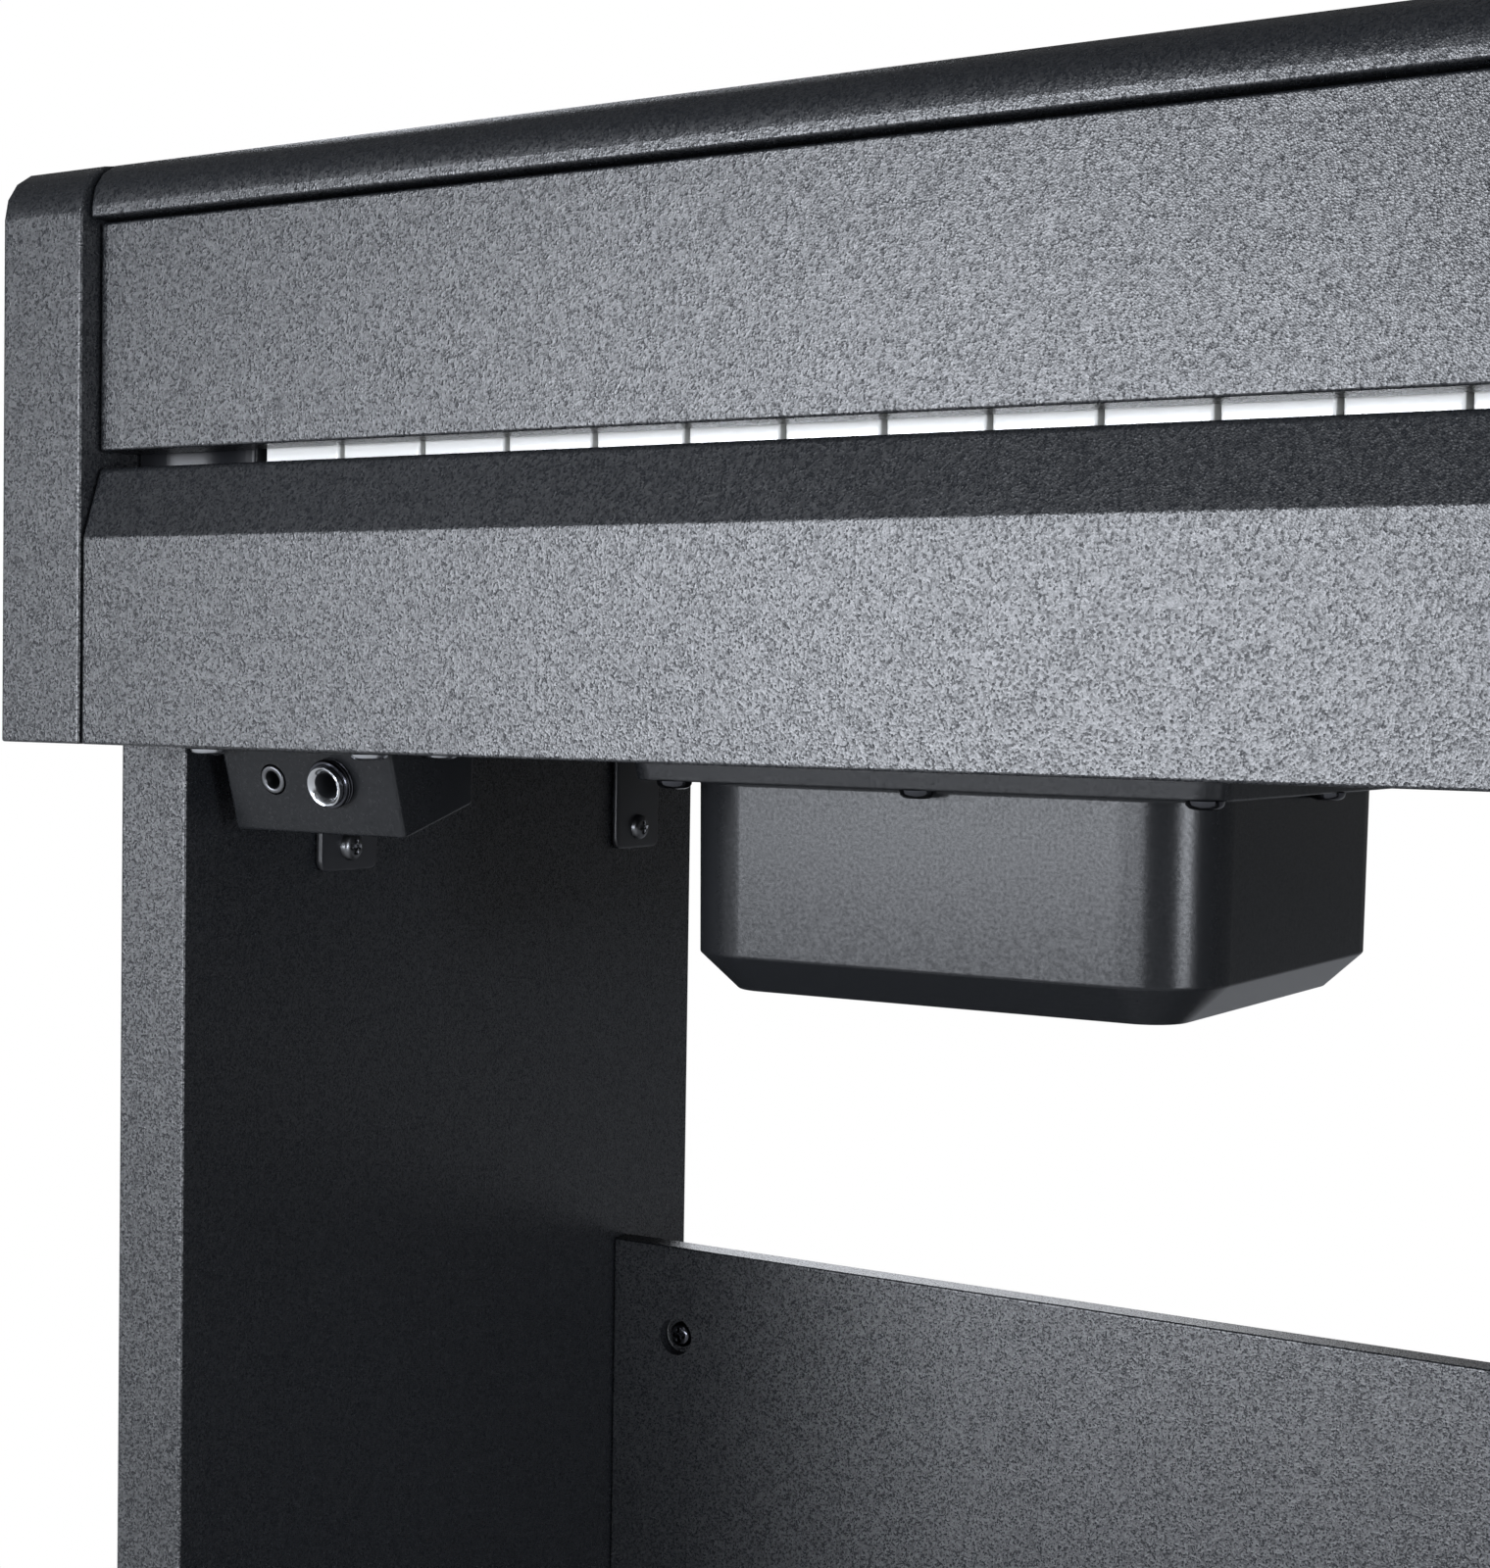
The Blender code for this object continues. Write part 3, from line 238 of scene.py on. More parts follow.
SLOT_FINISH = {
    "laminate": LAMINATE, "ivory": IVORY, "ebony": EBONY, "gloss": GLOSS, "plastic": SHELL, "satin": SATIN,
    "button": BUTTON, "chassis": CHASSIS, "circuit": CIRCUIT, "steel": STEEL, "chrome": CHROME,
    "brass": BRASS, "rubber": RUBBER,
}


class Paint:
    """Makes each finish's material once and puts it on meshes."""

    def __init__(self) -> None:
        """Start with no material made."""
        self.made: dict[str, bpy.types.Material] = {}

    def coat(self, mesh: bpy.types.Mesh, finish: Finish) -> None:
        """Give a mesh one finish, whose material is made at its first use."""
        if finish.name not in self.made:
            self.made[finish.name] = finish.material()
        mesh.materials.clear()
        mesh.materials.append(self.made[finish.name])

    def dress_frame(self) -> None:
        """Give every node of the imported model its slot's finish."""
        for part in frame["record"]["subparts"]:
            self.coat(frame["nodes"][part["node"]].data, SLOT_FINISH[part["material_slot"]])


class Form:
    """Collects surfaces, as arrays of points and faces, and turns them into one mesh."""

    def __init__(self) -> None:
        """Start with nothing."""
        self.points: list[np.ndarray] = []
        self.faces: list[list[int]] = []
        self.count = 0

    def grid(self, points: np.ndarray, caps: bool = True, closed: bool = False) -> "Form":
        """Add a tube of rings: point (i, j) is joined to (i, j + 1) round the ring and (i + 1, j) along it.

        Args:
            points: Array of rings by points by 3.
            caps: Whether the first and last ring are filled.
            closed: Whether the last ring joins the first.

        Returns:
            This form.
        """
        rings, sides = points.shape[:2]
        index = np.arange(rings * sides).reshape(rings, sides) + self.count
        upper = np.roll(index, -1, 0) if closed else index[1:]
        lower = index if closed else index[:-1]
        quads = np.stack((lower, np.roll(lower, -1, 1), np.roll(upper, -1, 1), upper), -1)
        self.faces += quads.reshape(-1, 4).tolist()
        if caps and not closed:
            self.faces += [index[0, ::-1].tolist(), index[-1].tolist()]
        self.points.append(points.reshape(-1, 3))
        self.count += rings * sides
        return self

    def bar(self, corners: Sequence, radii: Sequence, ends: Sequence, ease: float, axis: "Axis") -> "Form":
        """Add an outline with rounded corners, carried between two places, its ends eased.

        Args:
            corners: Outline, anticlockwise in the axis's (across, up).
            radii: Radius at each corner.
            ends: Lower and upper place along the axis.
            ease: Radius of the two ends.
            axis: Direction that it is carried along.

        Returns:
            This form.
        """
        outline, outward = filleted(corners, radii)
        return self.grid(carried(outline, outward, eased(ends[0], ends[1], ease), axis))

    def block(self, low: Sequence, high: Sequence, ease: float, axis: Optional["Axis"] = None) -> "Form":
        """Add a box with eased edges, carried along an axis, Z if none is given."""
        axis = axis or Axis.Z
        across, up, along = axis.value
        corners = box_corners((low[across], low[up]), (high[across], high[up]))
        return self.bar(corners, [ease] * 4, (low[along], high[along]), ease, axis)

    def lathe(self, profile: Sequence, place: Matrix, sides: int = 40, closed: bool = False) -> "Form":
        """Add a turned shape, its Z axis set on a place."""
        return self.grid(placed(turned(profile, sides), place), closed=closed)

    def add(self, other: "Form", place: Matrix) -> "Form":
        """Add everything of another form, moved by a matrix."""
        self.points.append(placed(np.concatenate(other.points), place))
        self.faces += [[index + self.count for index in face] for face in other.faces]
        self.count += other.count
        return self

    def mesh(self, name: str) -> bpy.types.Mesh:
        """Make the mesh, with its doubles merged and its faces turned outwards."""
        mesh = bpy.data.meshes.new(name)
        mesh.from_pydata(np.concatenate(self.points).tolist(), [], self.faces)
        work = bmesh.new()
        work.from_mesh(mesh)
        bmesh.ops.remove_doubles(work, verts=work.verts, dist=MERGE)
        bmesh.ops.recalc_face_normals(work, faces=work.faces)
        work.to_mesh(mesh)
        work.free()
        return mesh

    def piece(self, name: str, body: str, slot: str, paint: "Paint", nodes: Sequence[str] = (),
              carve: Optional["Form"] = None, finish: Optional[Finish] = None) -> bpy.types.Object:
        """Make the mesh and its object, dressed and riding on its body.

        Args:
            name: Name of the piece.
            body: Body that it rides on.
            slot: Material slot of the record that it takes its finish from.
            paint: Puts the finish on.
            nodes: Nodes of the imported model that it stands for.
            carve: Shapes that are cut from it.
            finish: Its finish, where it isn't the slot's own.

        Returns:
            The new object.
        """
        mesh = self.mesh(name)
        if carve is not None:
            mesh = carved(mesh, carve.mesh(f"{name}_cut"))
        mesh.shade_smooth()
        mesh.set_sharp_from_angle(angle=SMOOTH_ANGLE)
        paint.coat(mesh, finish or SLOT_FINISH[slot])
        item = bpy.data.objects.new(name, mesh)
        bpy.context.scene.collection.objects.link(item)
        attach(item, body)
        if nodes:
            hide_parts(*nodes)
        LOG.info("%s: %d faces", name, len(mesh.polygons))
        return item


def carved(mesh: bpy.types.Mesh, cutter: bpy.types.Mesh) -> bpy.types.Mesh:
    """Cut one mesh from another.

    Args:
        mesh: What is cut.
        cutter: Closed shapes to take away.

    Returns:
        The mesh that is left.
    """
    items = [bpy.data.objects.new(data.name, data) for data in (mesh, cutter)]
    for item in items:
        bpy.context.scene.collection.objects.link(item)
    change = items[0].modifiers.new("carve", "BOOLEAN")
    change.object = items[1]
    change.solver = "EXACT"
    made = items[0].evaluated_get(bpy.context.evaluated_depsgraph_get())
    left = bpy.data.meshes.new_from_object(made)
    left.name = mesh.name
    for item in items:
        bpy.data.objects.remove(item)
    return left


class Axis(Enum):
    """Direction that an outline is carried along, with the order of its (across, up, along) axes."""

    X = (1, 2, 0)
    Y = (0, 2, 1)
    Z = (0, 1, 2)


def filleted(corners: Sequence, radii: Sequence, steps: int = 4) -> tuple[np.ndarray, np.ndarray]:
    """Round the corners of an outline that runs anticlockwise.

    A corner's arc starts and ends radius times tan(turn / 2) from the corner, and its points are the
    centre plus the radius times the outward direction, which turns from one side's to the next one's.
    One more point lies a hold's length along each side, so that the flat beside the arc is shaded flat.

    Args:
        corners: Points (across, up) in order.
        radii: Radius at each corner.
        steps: Spaces along each arc.

    Returns:
        The points and the outward directions, both (points, 2).
    """
    corner = np.asarray(corners, float)
    radius = np.asarray(radii, float)[:, None, None]
    into = corner - np.roll(corner, 1, 0)
    into /= np.linalg.norm(into, axis=1)[:, None]
    out = np.roll(into, -1, 0)
    turn = np.arctan2(into[:, 0] * out[:, 1] - into[:, 1] * out[:, 0], (into * out).sum(1))
    start = np.arctan2(-into[:, 0], into[:, 1])
    angle = start[:, None] + turn[:, None] * np.linspace(0, 1, steps + 1)[None]
    outward = np.stack((np.cos(angle), np.sin(angle)), -1)
    side = np.sign(turn)[:, None, None]
    first = corner[:, None] - into[:, None] * radius * np.abs(np.tan(turn / 2))[:, None, None]
    centre = first - side * radius * outward[:, :1]
    points = centre + side * radius * outward
    points = np.concatenate((points[:, :1] - into[:, None] * HOLD, points, points[:, -1:] + out[:, None] * HOLD), 1)
    outward = np.concatenate((outward[:, :1], outward, outward[:, -1:]), 1)
    return points.reshape(-1, 2), outward.reshape(-1, 2)


def eased(low: float, high: float, radius: float, steps: int = 3) -> np.ndarray:
    """Stations of a bar whose two ends are rounded over.

    At an angle a from 0 to 90 degrees a station lies radius times (1 - sin a) from the end and is drawn
    in by radius times (1 - cos a).

    Args:
        low: Lower end.
        high: Upper end.
        radius: Radius of the ends.
        steps: Spaces along each rounding.

    Returns:
        Array of (position, inset).
    """
    angle = np.linspace(math.pi / 2, 0, steps + 1)
    away, inset = radius * (1 - np.sin(angle)), radius * (1 - np.cos(angle))
    start = np.stack((low + away, inset), 1)
    end = np.stack((high - away, inset), 1)[::-1]
    flat = np.array(((low + radius + HOLD, 0), (high - radius - HOLD, 0)))
    return np.concatenate((start, flat, end))


def carried(outline: np.ndarray, outward: np.ndarray, stations: np.ndarray, axis: Axis) -> np.ndarray:
    """Carry an outline along an axis, drawn in at each station by its inset.

    Args:
        outline: Points (across, up).
        outward: Outward direction at each point.
        stations: Array of (position, inset).
        axis: Direction it is carried along.

    Returns:
        Rings by points by 3.
    """
    flat = outline[None] - stations[:, 1, None, None] * outward[None]
    along = np.broadcast_to(stations[:, 0, None, None], (*flat.shape[:2], 1))
    stacked = np.concatenate((flat, along), -1)
    points = np.empty_like(stacked)
    points[..., list(axis.value)] = stacked
    return points


def box_corners(low: Sequence, high: Sequence) -> list[tuple[float, float]]:
    """Corners of a rectangle, anticlockwise."""
    return [(low[0], low[1]), (high[0], low[1]), (high[0], high[1]), (low[0], high[1])]


def turned(profile: Sequence, sides: int = 40) -> np.ndarray:
    """Turn (radius, height) points round Z: x = radius cos a, y = radius sin a."""
    shape = np.asarray(profile, float)
    angle = np.linspace(0, 2 * math.pi, sides, endpoint=False)
    ring = np.stack((np.cos(angle), np.sin(angle)), -1)
    flat = shape[:, 0, None, None] * ring[None]
    height = np.broadcast_to(shape[:, 1, None, None], (*flat.shape[:2], 1))
    return np.concatenate((flat, height), -1)


def placed(points: np.ndarray, matrix: Matrix) -> np.ndarray:
    """Move points by a matrix."""
    turn = np.array(matrix.to_3x3())
    return points @ turn.T + np.array(matrix.translation)


@dataclass
class Screw:
    """Pan head screw with a cross recess."""

    radius: float = 3.6 * MM
    height: float = 2.0 * MM
    recess: float = 1.3 * MM
    slot: float = 0.62 * MM
    reach: float = 2.0 * MM
    rings: int = 22
    sides: int = 48

    def surface(self, place: Matrix) -> np.ndarray:
        """Head as a height over polar coordinates.

        The crown is height times (1 - r^4) to the power 0.5, less the recess where either of two crossed
        bars covers the point, eased over a fifth of the bar's width.

        Args:
            place: Matrix that takes Z out of the head.

        Returns:
            Rings by points by 3, from the centre outwards and down to the seat.
        """
        share = np.linspace(0.02, 1.0, self.rings)
        angle = np.linspace(0, 2 * math.pi, self.sides, endpoint=False)
        x = self.radius * share[:, None] * np.cos(angle)
        y = self.radius * share[:, None] * np.sin(angle)
        crown = self.height * np.sqrt(np.clip(1 - share ** 4, 0, 1))[:, None] * np.ones_like(x)

        def bar(along: np.ndarray, across: np.ndarray) -> np.ndarray:
            """How far a point lies inside a bar of the recess, 0 to 1."""
            edge = self.slot / 4
            inside = np.clip((self.slot - np.abs(across)) / edge, 0, 1)
            return inside * np.clip((self.reach - np.abs(along)) / edge, 0, 1)

        depth = np.maximum(bar(x, y), bar(y, x)) * self.recess
        return placed(np.stack((x, y, crown - depth), -1), place)


def facing(point: Sequence, direction: Sequence) -> Matrix:
    """Matrix at a point whose Z axis runs in a direction."""
    turn = Vector(direction).to_track_quat("Z", "Y").to_matrix().to_4x4()
    return Matrix.Translation(Vector(point)) @ turn


def cylinder(radius: float, low: float, high: float, ease: float, hole: float = 0.0) -> np.ndarray:
    """Profile of a turned bar with eased rims, or of a tube if it has a hole.

    It is the outline of the bar's half section, its corners rounded, from the axis or the hole outwards.
    """
    if hole:
        return filleted([(hole, low), (radius, low), (radius, high), (hole, high)], [ease] * 4, 3)[0]
    rim = filleted([(radius / 2, low), (radius, low), (radius, high), (radius / 2, high)], [0, ease, ease, 0], 3)[0]
    return rim[3:-3]


def along_x(point: Sequence) -> Matrix:
    """Matrix at a point whose Z axis runs along X."""
    return facing(point, (1, 0, 0))


@dataclass
class Case:
    """Boards of the case, the lid and the stand, with their edges eased."""

    paint: Paint
    arris: float = 0.6 * MM
    cheek_round: float = 13.0 * MM
    lid_lip: float = 2.6 * MM
    chamfer: tuple[float, float] = (5.5 * MM, 16.8 * MM)
    inlet_gap: float = 0.4 * MM
    back_screw: Screw = field(default_factory=lambda: Screw(3.5 * MM, 1.8 * MM))
    back_screws: int = 9
    screw_margin: float = 12.0 * MM
    bore: tuple[float, float] = (5.8 * MM, 4.0 * MM)
    bore_in: tuple[float, float] = (23.5 * MM, 28.0 * MM)
    panel_screw: Screw = field(default_factory=lambda: Screw(4.0 * MM, 2.2 * MM, 1.4 * MM, 0.7 * MM, 2.2 * MM))
    plain: dict = field(default_factory=lambda: {
        "leg_left": Axis.Z, "leg_right": Axis.Z, "bottom_board": Axis.X, "rear_top_rail": Axis.X,
        "panel_cleat_left": Axis.Z, "panel_cleat_right": Axis.Z, "lid_flap": Axis.X,
    })

    def board(self, node: str, body: str, corners: Sequence, radii: Sequence, axis: Axis,
              carve: Optional[Form] = None) -> None:
        """Replace a board by one with eased edges.

        Args:
            node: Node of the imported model.
            body: Body that it rides on.
            corners: Outline, anticlockwise.
            radii: Radius at each corner.
            axis: Direction that the outline is carried along.
            carve: Shapes that are cut from it.
        """
        low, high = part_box(node)
        along = axis.value[2]
        form = Form().bar(corners, radii, (low[along], high[along]), self.arris, axis)
        form.piece(f"{node}_board", body, "laminate", self.paint, [node], carve)

    def rectangle(self, node: str, body: str, axis: Axis, carve: Optional[Form] = None) -> None:
        """Replace a plain board by one with eased edges."""
        low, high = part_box(node)
        across, up = axis.value[:2]
        corners = box_corners((low[across], low[up]), (high[across], high[up]))
        self.board(node, body, corners, [self.arris] * 4, axis, carve)

    def build(self) -> None:
        """Make all the boards."""
        for node, axis in self.plain.items():
            self.rectangle(node, "flap" if node == "lid_flap" else BODY, axis)
        self.cheeks()
        self.front_rail()
        self.lid()
        self.back()
        self.modesty_panel()

    def cheeks(self) -> None:
        """Side boards of the case, their front top corner rounded."""
        for side in ("left", "right"):
            low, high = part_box(f"cheek_{side}")
            corners = box_corners((low.y, low.z), (high.y, high.z))
            radii = [self.arris, self.arris, self.arris, self.cheek_round]
            self.board(f"cheek_{side}", BODY, corners, radii, Axis.X)

    def front_rail(self) -> None:
        """Rail in front of the keys, with a chamfer along its top."""
        low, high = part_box("front_rail")
        shoulder, drop = self.chamfer
        corners = [(low.y, low.z), (high.y, low.z), (high.y, high.z), (low.y + shoulder, high.z),
                   (low.y, high.z - drop)]
        self.board("front_rail", BODY, corners, [self.arris] * 3 + [1.6 * MM, 2.0 * MM], Axis.X)

    def lid(self) -> None:
        """Lid: a straight lip, then a quarter round up to its top."""
        low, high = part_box("lid_top")
        corners = box_corners((low.y, low.z), (high.y, high.z))
        crown = high.z - low.z - self.lid_lip
        self.board("lid_top", "lid", corners, [self.arris, self.arris, self.arris, crown], Axis.X)

    def back(self) -> None:
        """Back panel with the power inlet's hole and a row of screws along each long edge."""
        low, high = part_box("back_panel")
        inlet_low, inlet_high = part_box("dc_inlet")
        gap = self.inlet_gap
        hole_low = (inlet_low.x - gap, low.y - gap, inlet_low.z - gap)
        hole_high = (inlet_high.x + gap, high.y + gap, inlet_high.z + gap)
        hole = Form().block(hole_low, hole_high, gap / 2, Axis.Y)
        self.rectangle("back_panel", BODY, Axis.X, hole)
        form = Form()
        margin = self.screw_margin
        for x in np.linspace(low.x + margin, high.x - margin, self.back_screws):
            for z in (low.z + margin, high.z - margin):
                form.grid(self.back_screw.surface(facing((x, high.y, z), (0, 1, 0))))
        form.piece("back_screws", BODY, "steel", self.paint, finish=BLACK_ZINC)

    def modesty_panel(self) -> None:
        """Panel between the legs with a counterbored screw near each corner."""
        low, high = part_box("modesty_panel")
        radius, depth = self.bore
        across, down = self.bore_in
        holes, screws = Form(), Form()
        for x in (low.x + across, high.x - across):
            for z in (low.z + down, high.z - down):
                holes.lathe(cylinder(radius, -depth, depth, self.inlet_gap), facing((x, low.y, z), (0, -1, 0)))
                screws.grid(self.panel_screw.surface(facing((x, low.y + depth, z), (0, -1, 0))))
        self.rectangle("modesty_panel", BODY, Axis.X, holes)
        screws.piece("panel_screws", BODY, "steel", self.paint, finish=BLACK_ZINC)


@dataclass
class SpeakerBoxes:
    """Drafted shells under the case, each with a layered flange, screws, a grille and a loudspeaker."""

    paint: Paint
    flange: float = 8.0 * MM
    flange_thick: float = 7.4 * MM
    flange_corner: float = 6.0 * MM
    groove_up: float = 4.3 * MM
    groove: float = 0.7 * MM
    lean: float = 0.11
    flange_edge: float = 0.35 * MM
    corner: float = 20.7 * MM
    arc_steps: int = 10
    chamfer: tuple[float, float] = (10.0 * MM, 9.3 * MM)
    draft: float = 0.6 * MM
    wall: float = 2.6 * MM
    port: float = 40.0 * MM
    edge: float = 0.9 * MM
    plate: float = 2.0 * MM
    hole_pitch: float = 3.4 * MM
    hole: float = 1.15 * MM
    hole_sides: int = 12
    screw: Screw = field(default_factory=lambda: Screw(4.5 * MM, 2.1 * MM, 1.3 * MM, 0.7 * MM, 2.4 * MM))
    screw_in: tuple[float, float] = (12.2 * MM, 5.8 * MM)
    screw_shift: tuple[float, float] = (1.6 * MM, 5.0 * MM)
    rear_screws: float = 35.0 * MM

    def build(self) -> None:
        """Make both boxes."""
        for side in ("left", "right"):
            self.shell(side)
            self.screws(side)
            self.grille(side)
            self.driver(side)

    def middle(self, side: str) -> tuple[float, float]:
        """Middle of a box, seen from above."""
        low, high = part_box(f"speaker_box_{side}")
        return (low.x + high.x) / 2, (low.y + high.y) / 2

    def plan(self, side: str, inset: np.ndarray, height: np.ndarray) -> np.ndarray:
        """Rings of the shell's plan.

        Up to the floor's edge a ring is a rectangle with round corners, drawn in by the inset, whose
        corner radius runs from the flange's to the body's and then falls by the inset. A corner's points
        are its centre plus the radius times (cos a, sin a). Past the floor's edge a ring turns to the
        port's circle, in proportion to how far it is on the way there.

        Args:
            side: Name of the side.
            inset: Inset of each ring from the body's top edge.
            height: Height of each ring.

        Returns:
            Rings by points by 3.
        """
        low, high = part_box(f"speaker_box_{side}")
        middle = np.array(self.middle(side))
        half = np.array(((high.x - low.x) / 2, (high.y - low.y) / 2)) - self.flange
        drawn = self.draft + self.chamfer[0] + self.edge * 2
        flat = np.minimum(inset, drawn)[:, None, None, None]
        radius = np.interp(flat, (-self.flange, 0, drawn), (self.flange_corner, self.corner, self.corner - drawn))
        angle = np.radians(np.linspace(0, 90, self.arc_steps + 1))
        hold = np.array([-HOLD, *np.zeros_like(angle), HOLD])[:, None]
        angle = np.concatenate((angle[:1], angle, angle[-1:]))
        turn = np.radians((0, 90, 180, 270))[:, None] + angle
        outward = np.stack((np.cos(turn), np.sin(turn)), -1)
        tangent = np.stack((-np.sin(turn), np.cos(turn)), -1)
        sign = np.array(((1, 1), (-1, 1), (-1, -1), (1, -1)))[:, None]
        rectangle = sign * (half - flat - radius) + radius * outward + hold * tangent
        rectangle = rectangle.reshape(len(inset), -1, 2)
        angle = np.arctan2(rectangle[-1, :, 1], rectangle[-1, :, 0])
        circle = self.port * np.stack((np.cos(angle), np.sin(angle)), -1)
        blend = np.clip((inset - drawn) / self.port, 0, 1)[:, None, None]
        ring = middle + rectangle + blend * (circle - rectangle)
        return np.concatenate((ring, np.broadcast_to(height[:, None, None], (*ring.shape[:2], 1))), -1)

    def shell(self, side: str) -> None:
        """One box: the section of its wall, with its edges rounded, carried round the plan."""
        low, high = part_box(f"speaker_box_{side}")
        under = high.z - self.flange_thick
        seam = under + self.groove_up
        turn = low.z + self.chamfer[1]
        drawn = self.draft + self.chamfer[0]
        deep = drawn + self.edge * 2 + self.port
        wall, edge, groove = self.wall, self.edge, self.groove
        lower = self.lean * self.groove_up
        upper = self.lean * (self.flange_thick - self.groove_up - groove)
        section = [
            (-self.flange, high.z, 0), (wall, high.z, 0), (wall + self.draft, turn, 0),
            (drawn + wall / 2, low.z + wall, 0), (deep, low.z + wall, 0), (deep, low.z, 0), (drawn, low.z, edge),
            (self.draft, turn, edge), (0, under, edge), (lower - self.flange, under, self.flange_edge),
            (-self.flange, seam, 0), (upper + groove - self.flange, seam, 0),
            (upper + groove - self.flange, seam + groove, 0), (upper - self.flange, seam + groove, 0),
        ]
        corners = [(-inset, height) for inset, height, _ in section]
        outline, _ = filleted(corners, [radius for _, _, radius in section], 3)
        rings = self.plan(side, -outline[:, 0], outline[:, 1])
        Form().grid(rings, closed=True).piece(f"speaker_shell_{side}", BODY, "plastic", self.paint,
                                              [f"speaker_box_{side}"])

    def screws(self, side: str) -> None:
        """Seven screws through the flange's underside: three in front, one at each end, two at the back."""
        low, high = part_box(f"speaker_box_{side}")
        under = high.z - self.flange_thick
        inset = self.flange / 2
        middle = self.middle(side)
        across, back = self.screw_shift
        columns = (low.x + self.screw_in[0], middle[0] + across, high.x - self.screw_in[1])
        places = [(x, low.y + inset) for x in columns]
        places += [(x, middle[1] + back) for x in (low.x + inset, high.x - inset)]
        places += [(middle[0] + x, high.y - inset) for x in (-self.rear_screws, self.rear_screws)]
        form = Form()
        for x, y in places:
            form.grid(self.screw.surface(facing((x, y, under), (0, 0, -1))))
        form.piece(f"speaker_screws_{side}", BODY, "steel", self.paint, finish=BLACK_ZINC)

    def grille(self, side: str) -> None:
        """Pierced sheet in the port, with a plain rim.

        Each hole has its own six-sided tile: rings of points run from the tile's edge, whose radius at an
        angle is half the pitch over the cosine of the angle to the nearest side's middle, to the hole.
        """
        low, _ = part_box(f"speaker_grille_{side}")
        middle = self.middle(side)
        reach = self.port - self.wall
        rows = int(reach / self.hole_pitch * 2 / math.sqrt(3)) + 1
        row, place = np.meshgrid(np.arange(-rows, rows + 1), np.arange(-rows, rows + 1), indexing="ij")
        centre = np.stack(((place + 0.5 * (row % 2)) * self.hole_pitch, row * self.hole_pitch * math.sqrt(3) / 2), -1)
        centre = centre.reshape(-1, 2)
        centre = centre[np.hypot(centre[:, 0], centre[:, 1]) < reach - self.hole_pitch / 2] + middle
        angle = np.arange(self.hole_sides) * 2 * math.pi / self.hole_sides
        to_side = (angle + math.pi / 6) % (math.pi / 3) - math.pi / 6
        spokes = np.stack((np.cos(angle), np.sin(angle)), -1)
        outer = centre[:, None] + (self.hole_pitch / 2 / np.cos(to_side))[:, None] * spokes
        inner = centre[:, None] + self.hole * spokes
        tiles = np.stack((outer, inner), 1)
        tiles = np.concatenate((tiles, np.full((*tiles.shape[:3], 1), low.z + self.plate / 2)), -1)
        form = Form()
        for tile in tiles:
            form.grid(tile, caps=False)
        item = form.piece(f"pierced_grille_{side}", BODY, "steel", self.paint, [f"speaker_grille_{side}"])
        thick = item.modifiers.new("thickness", "SOLIDIFY")
        thick.thickness = self.plate / 3
        thick.offset = 0
        rim = cylinder(self.port - self.groove, 0, self.plate, self.groove / 2, reach - self.hole_pitch)
        place = Matrix.Translation((middle[0], middle[1], low.z))
        Form().lathe(rim, place, 64, closed=True).piece(f"grille_rim_{side}", BODY, "steel", self.paint)

    def driver(self, side: str) -> None:
        """Loudspeaker: a rolled surround, a plain cone and a cap, then the basket and the magnet.

        The surround's height is a half circle over its width, and the cone's is a straight slope.
        """
        low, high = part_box(f"speaker_driver_{side}")
        middle = self.middle(side)
        rim = (high.x - low.x) / 2
        lip, cone, cap = rim - 6 * MM, rim - 15 * MM, 11 * MM
        roll = np.linspace(0, math.pi, 9)
        surround = np.stack(((lip + cone) / 2 + (lip - cone) / 2 * np.cos(roll), 3.5 * MM - 3 * MM * np.sin(roll)), 1)
        dome = np.linspace(0, math.pi / 2, 7)[:-1]
        crown = np.stack((cap * np.cos(dome), 13 * MM - 5 * MM * np.sin(dome)), 1)
        tip = high.z - low.z
        back = [(0.5 * MM, tip), (24 * MM, tip), (24 * MM, tip - 14 * MM), (19 * MM, tip - 14 * MM),
                (rim - 1 * MM, 2 * MM), (rim, 2 * MM), (rim, 0.2 * MM)]
        profile = np.concatenate((crown[::-1], surround[::-1], np.array(back)[::-1]))
        place = Matrix.Translation((middle[0], middle[1], low.z))
        Form().lathe(profile, place, 48).piece(f"loudspeaker_{side}", BODY, "satin", self.paint,
                                               [f"speaker_driver_{side}"])


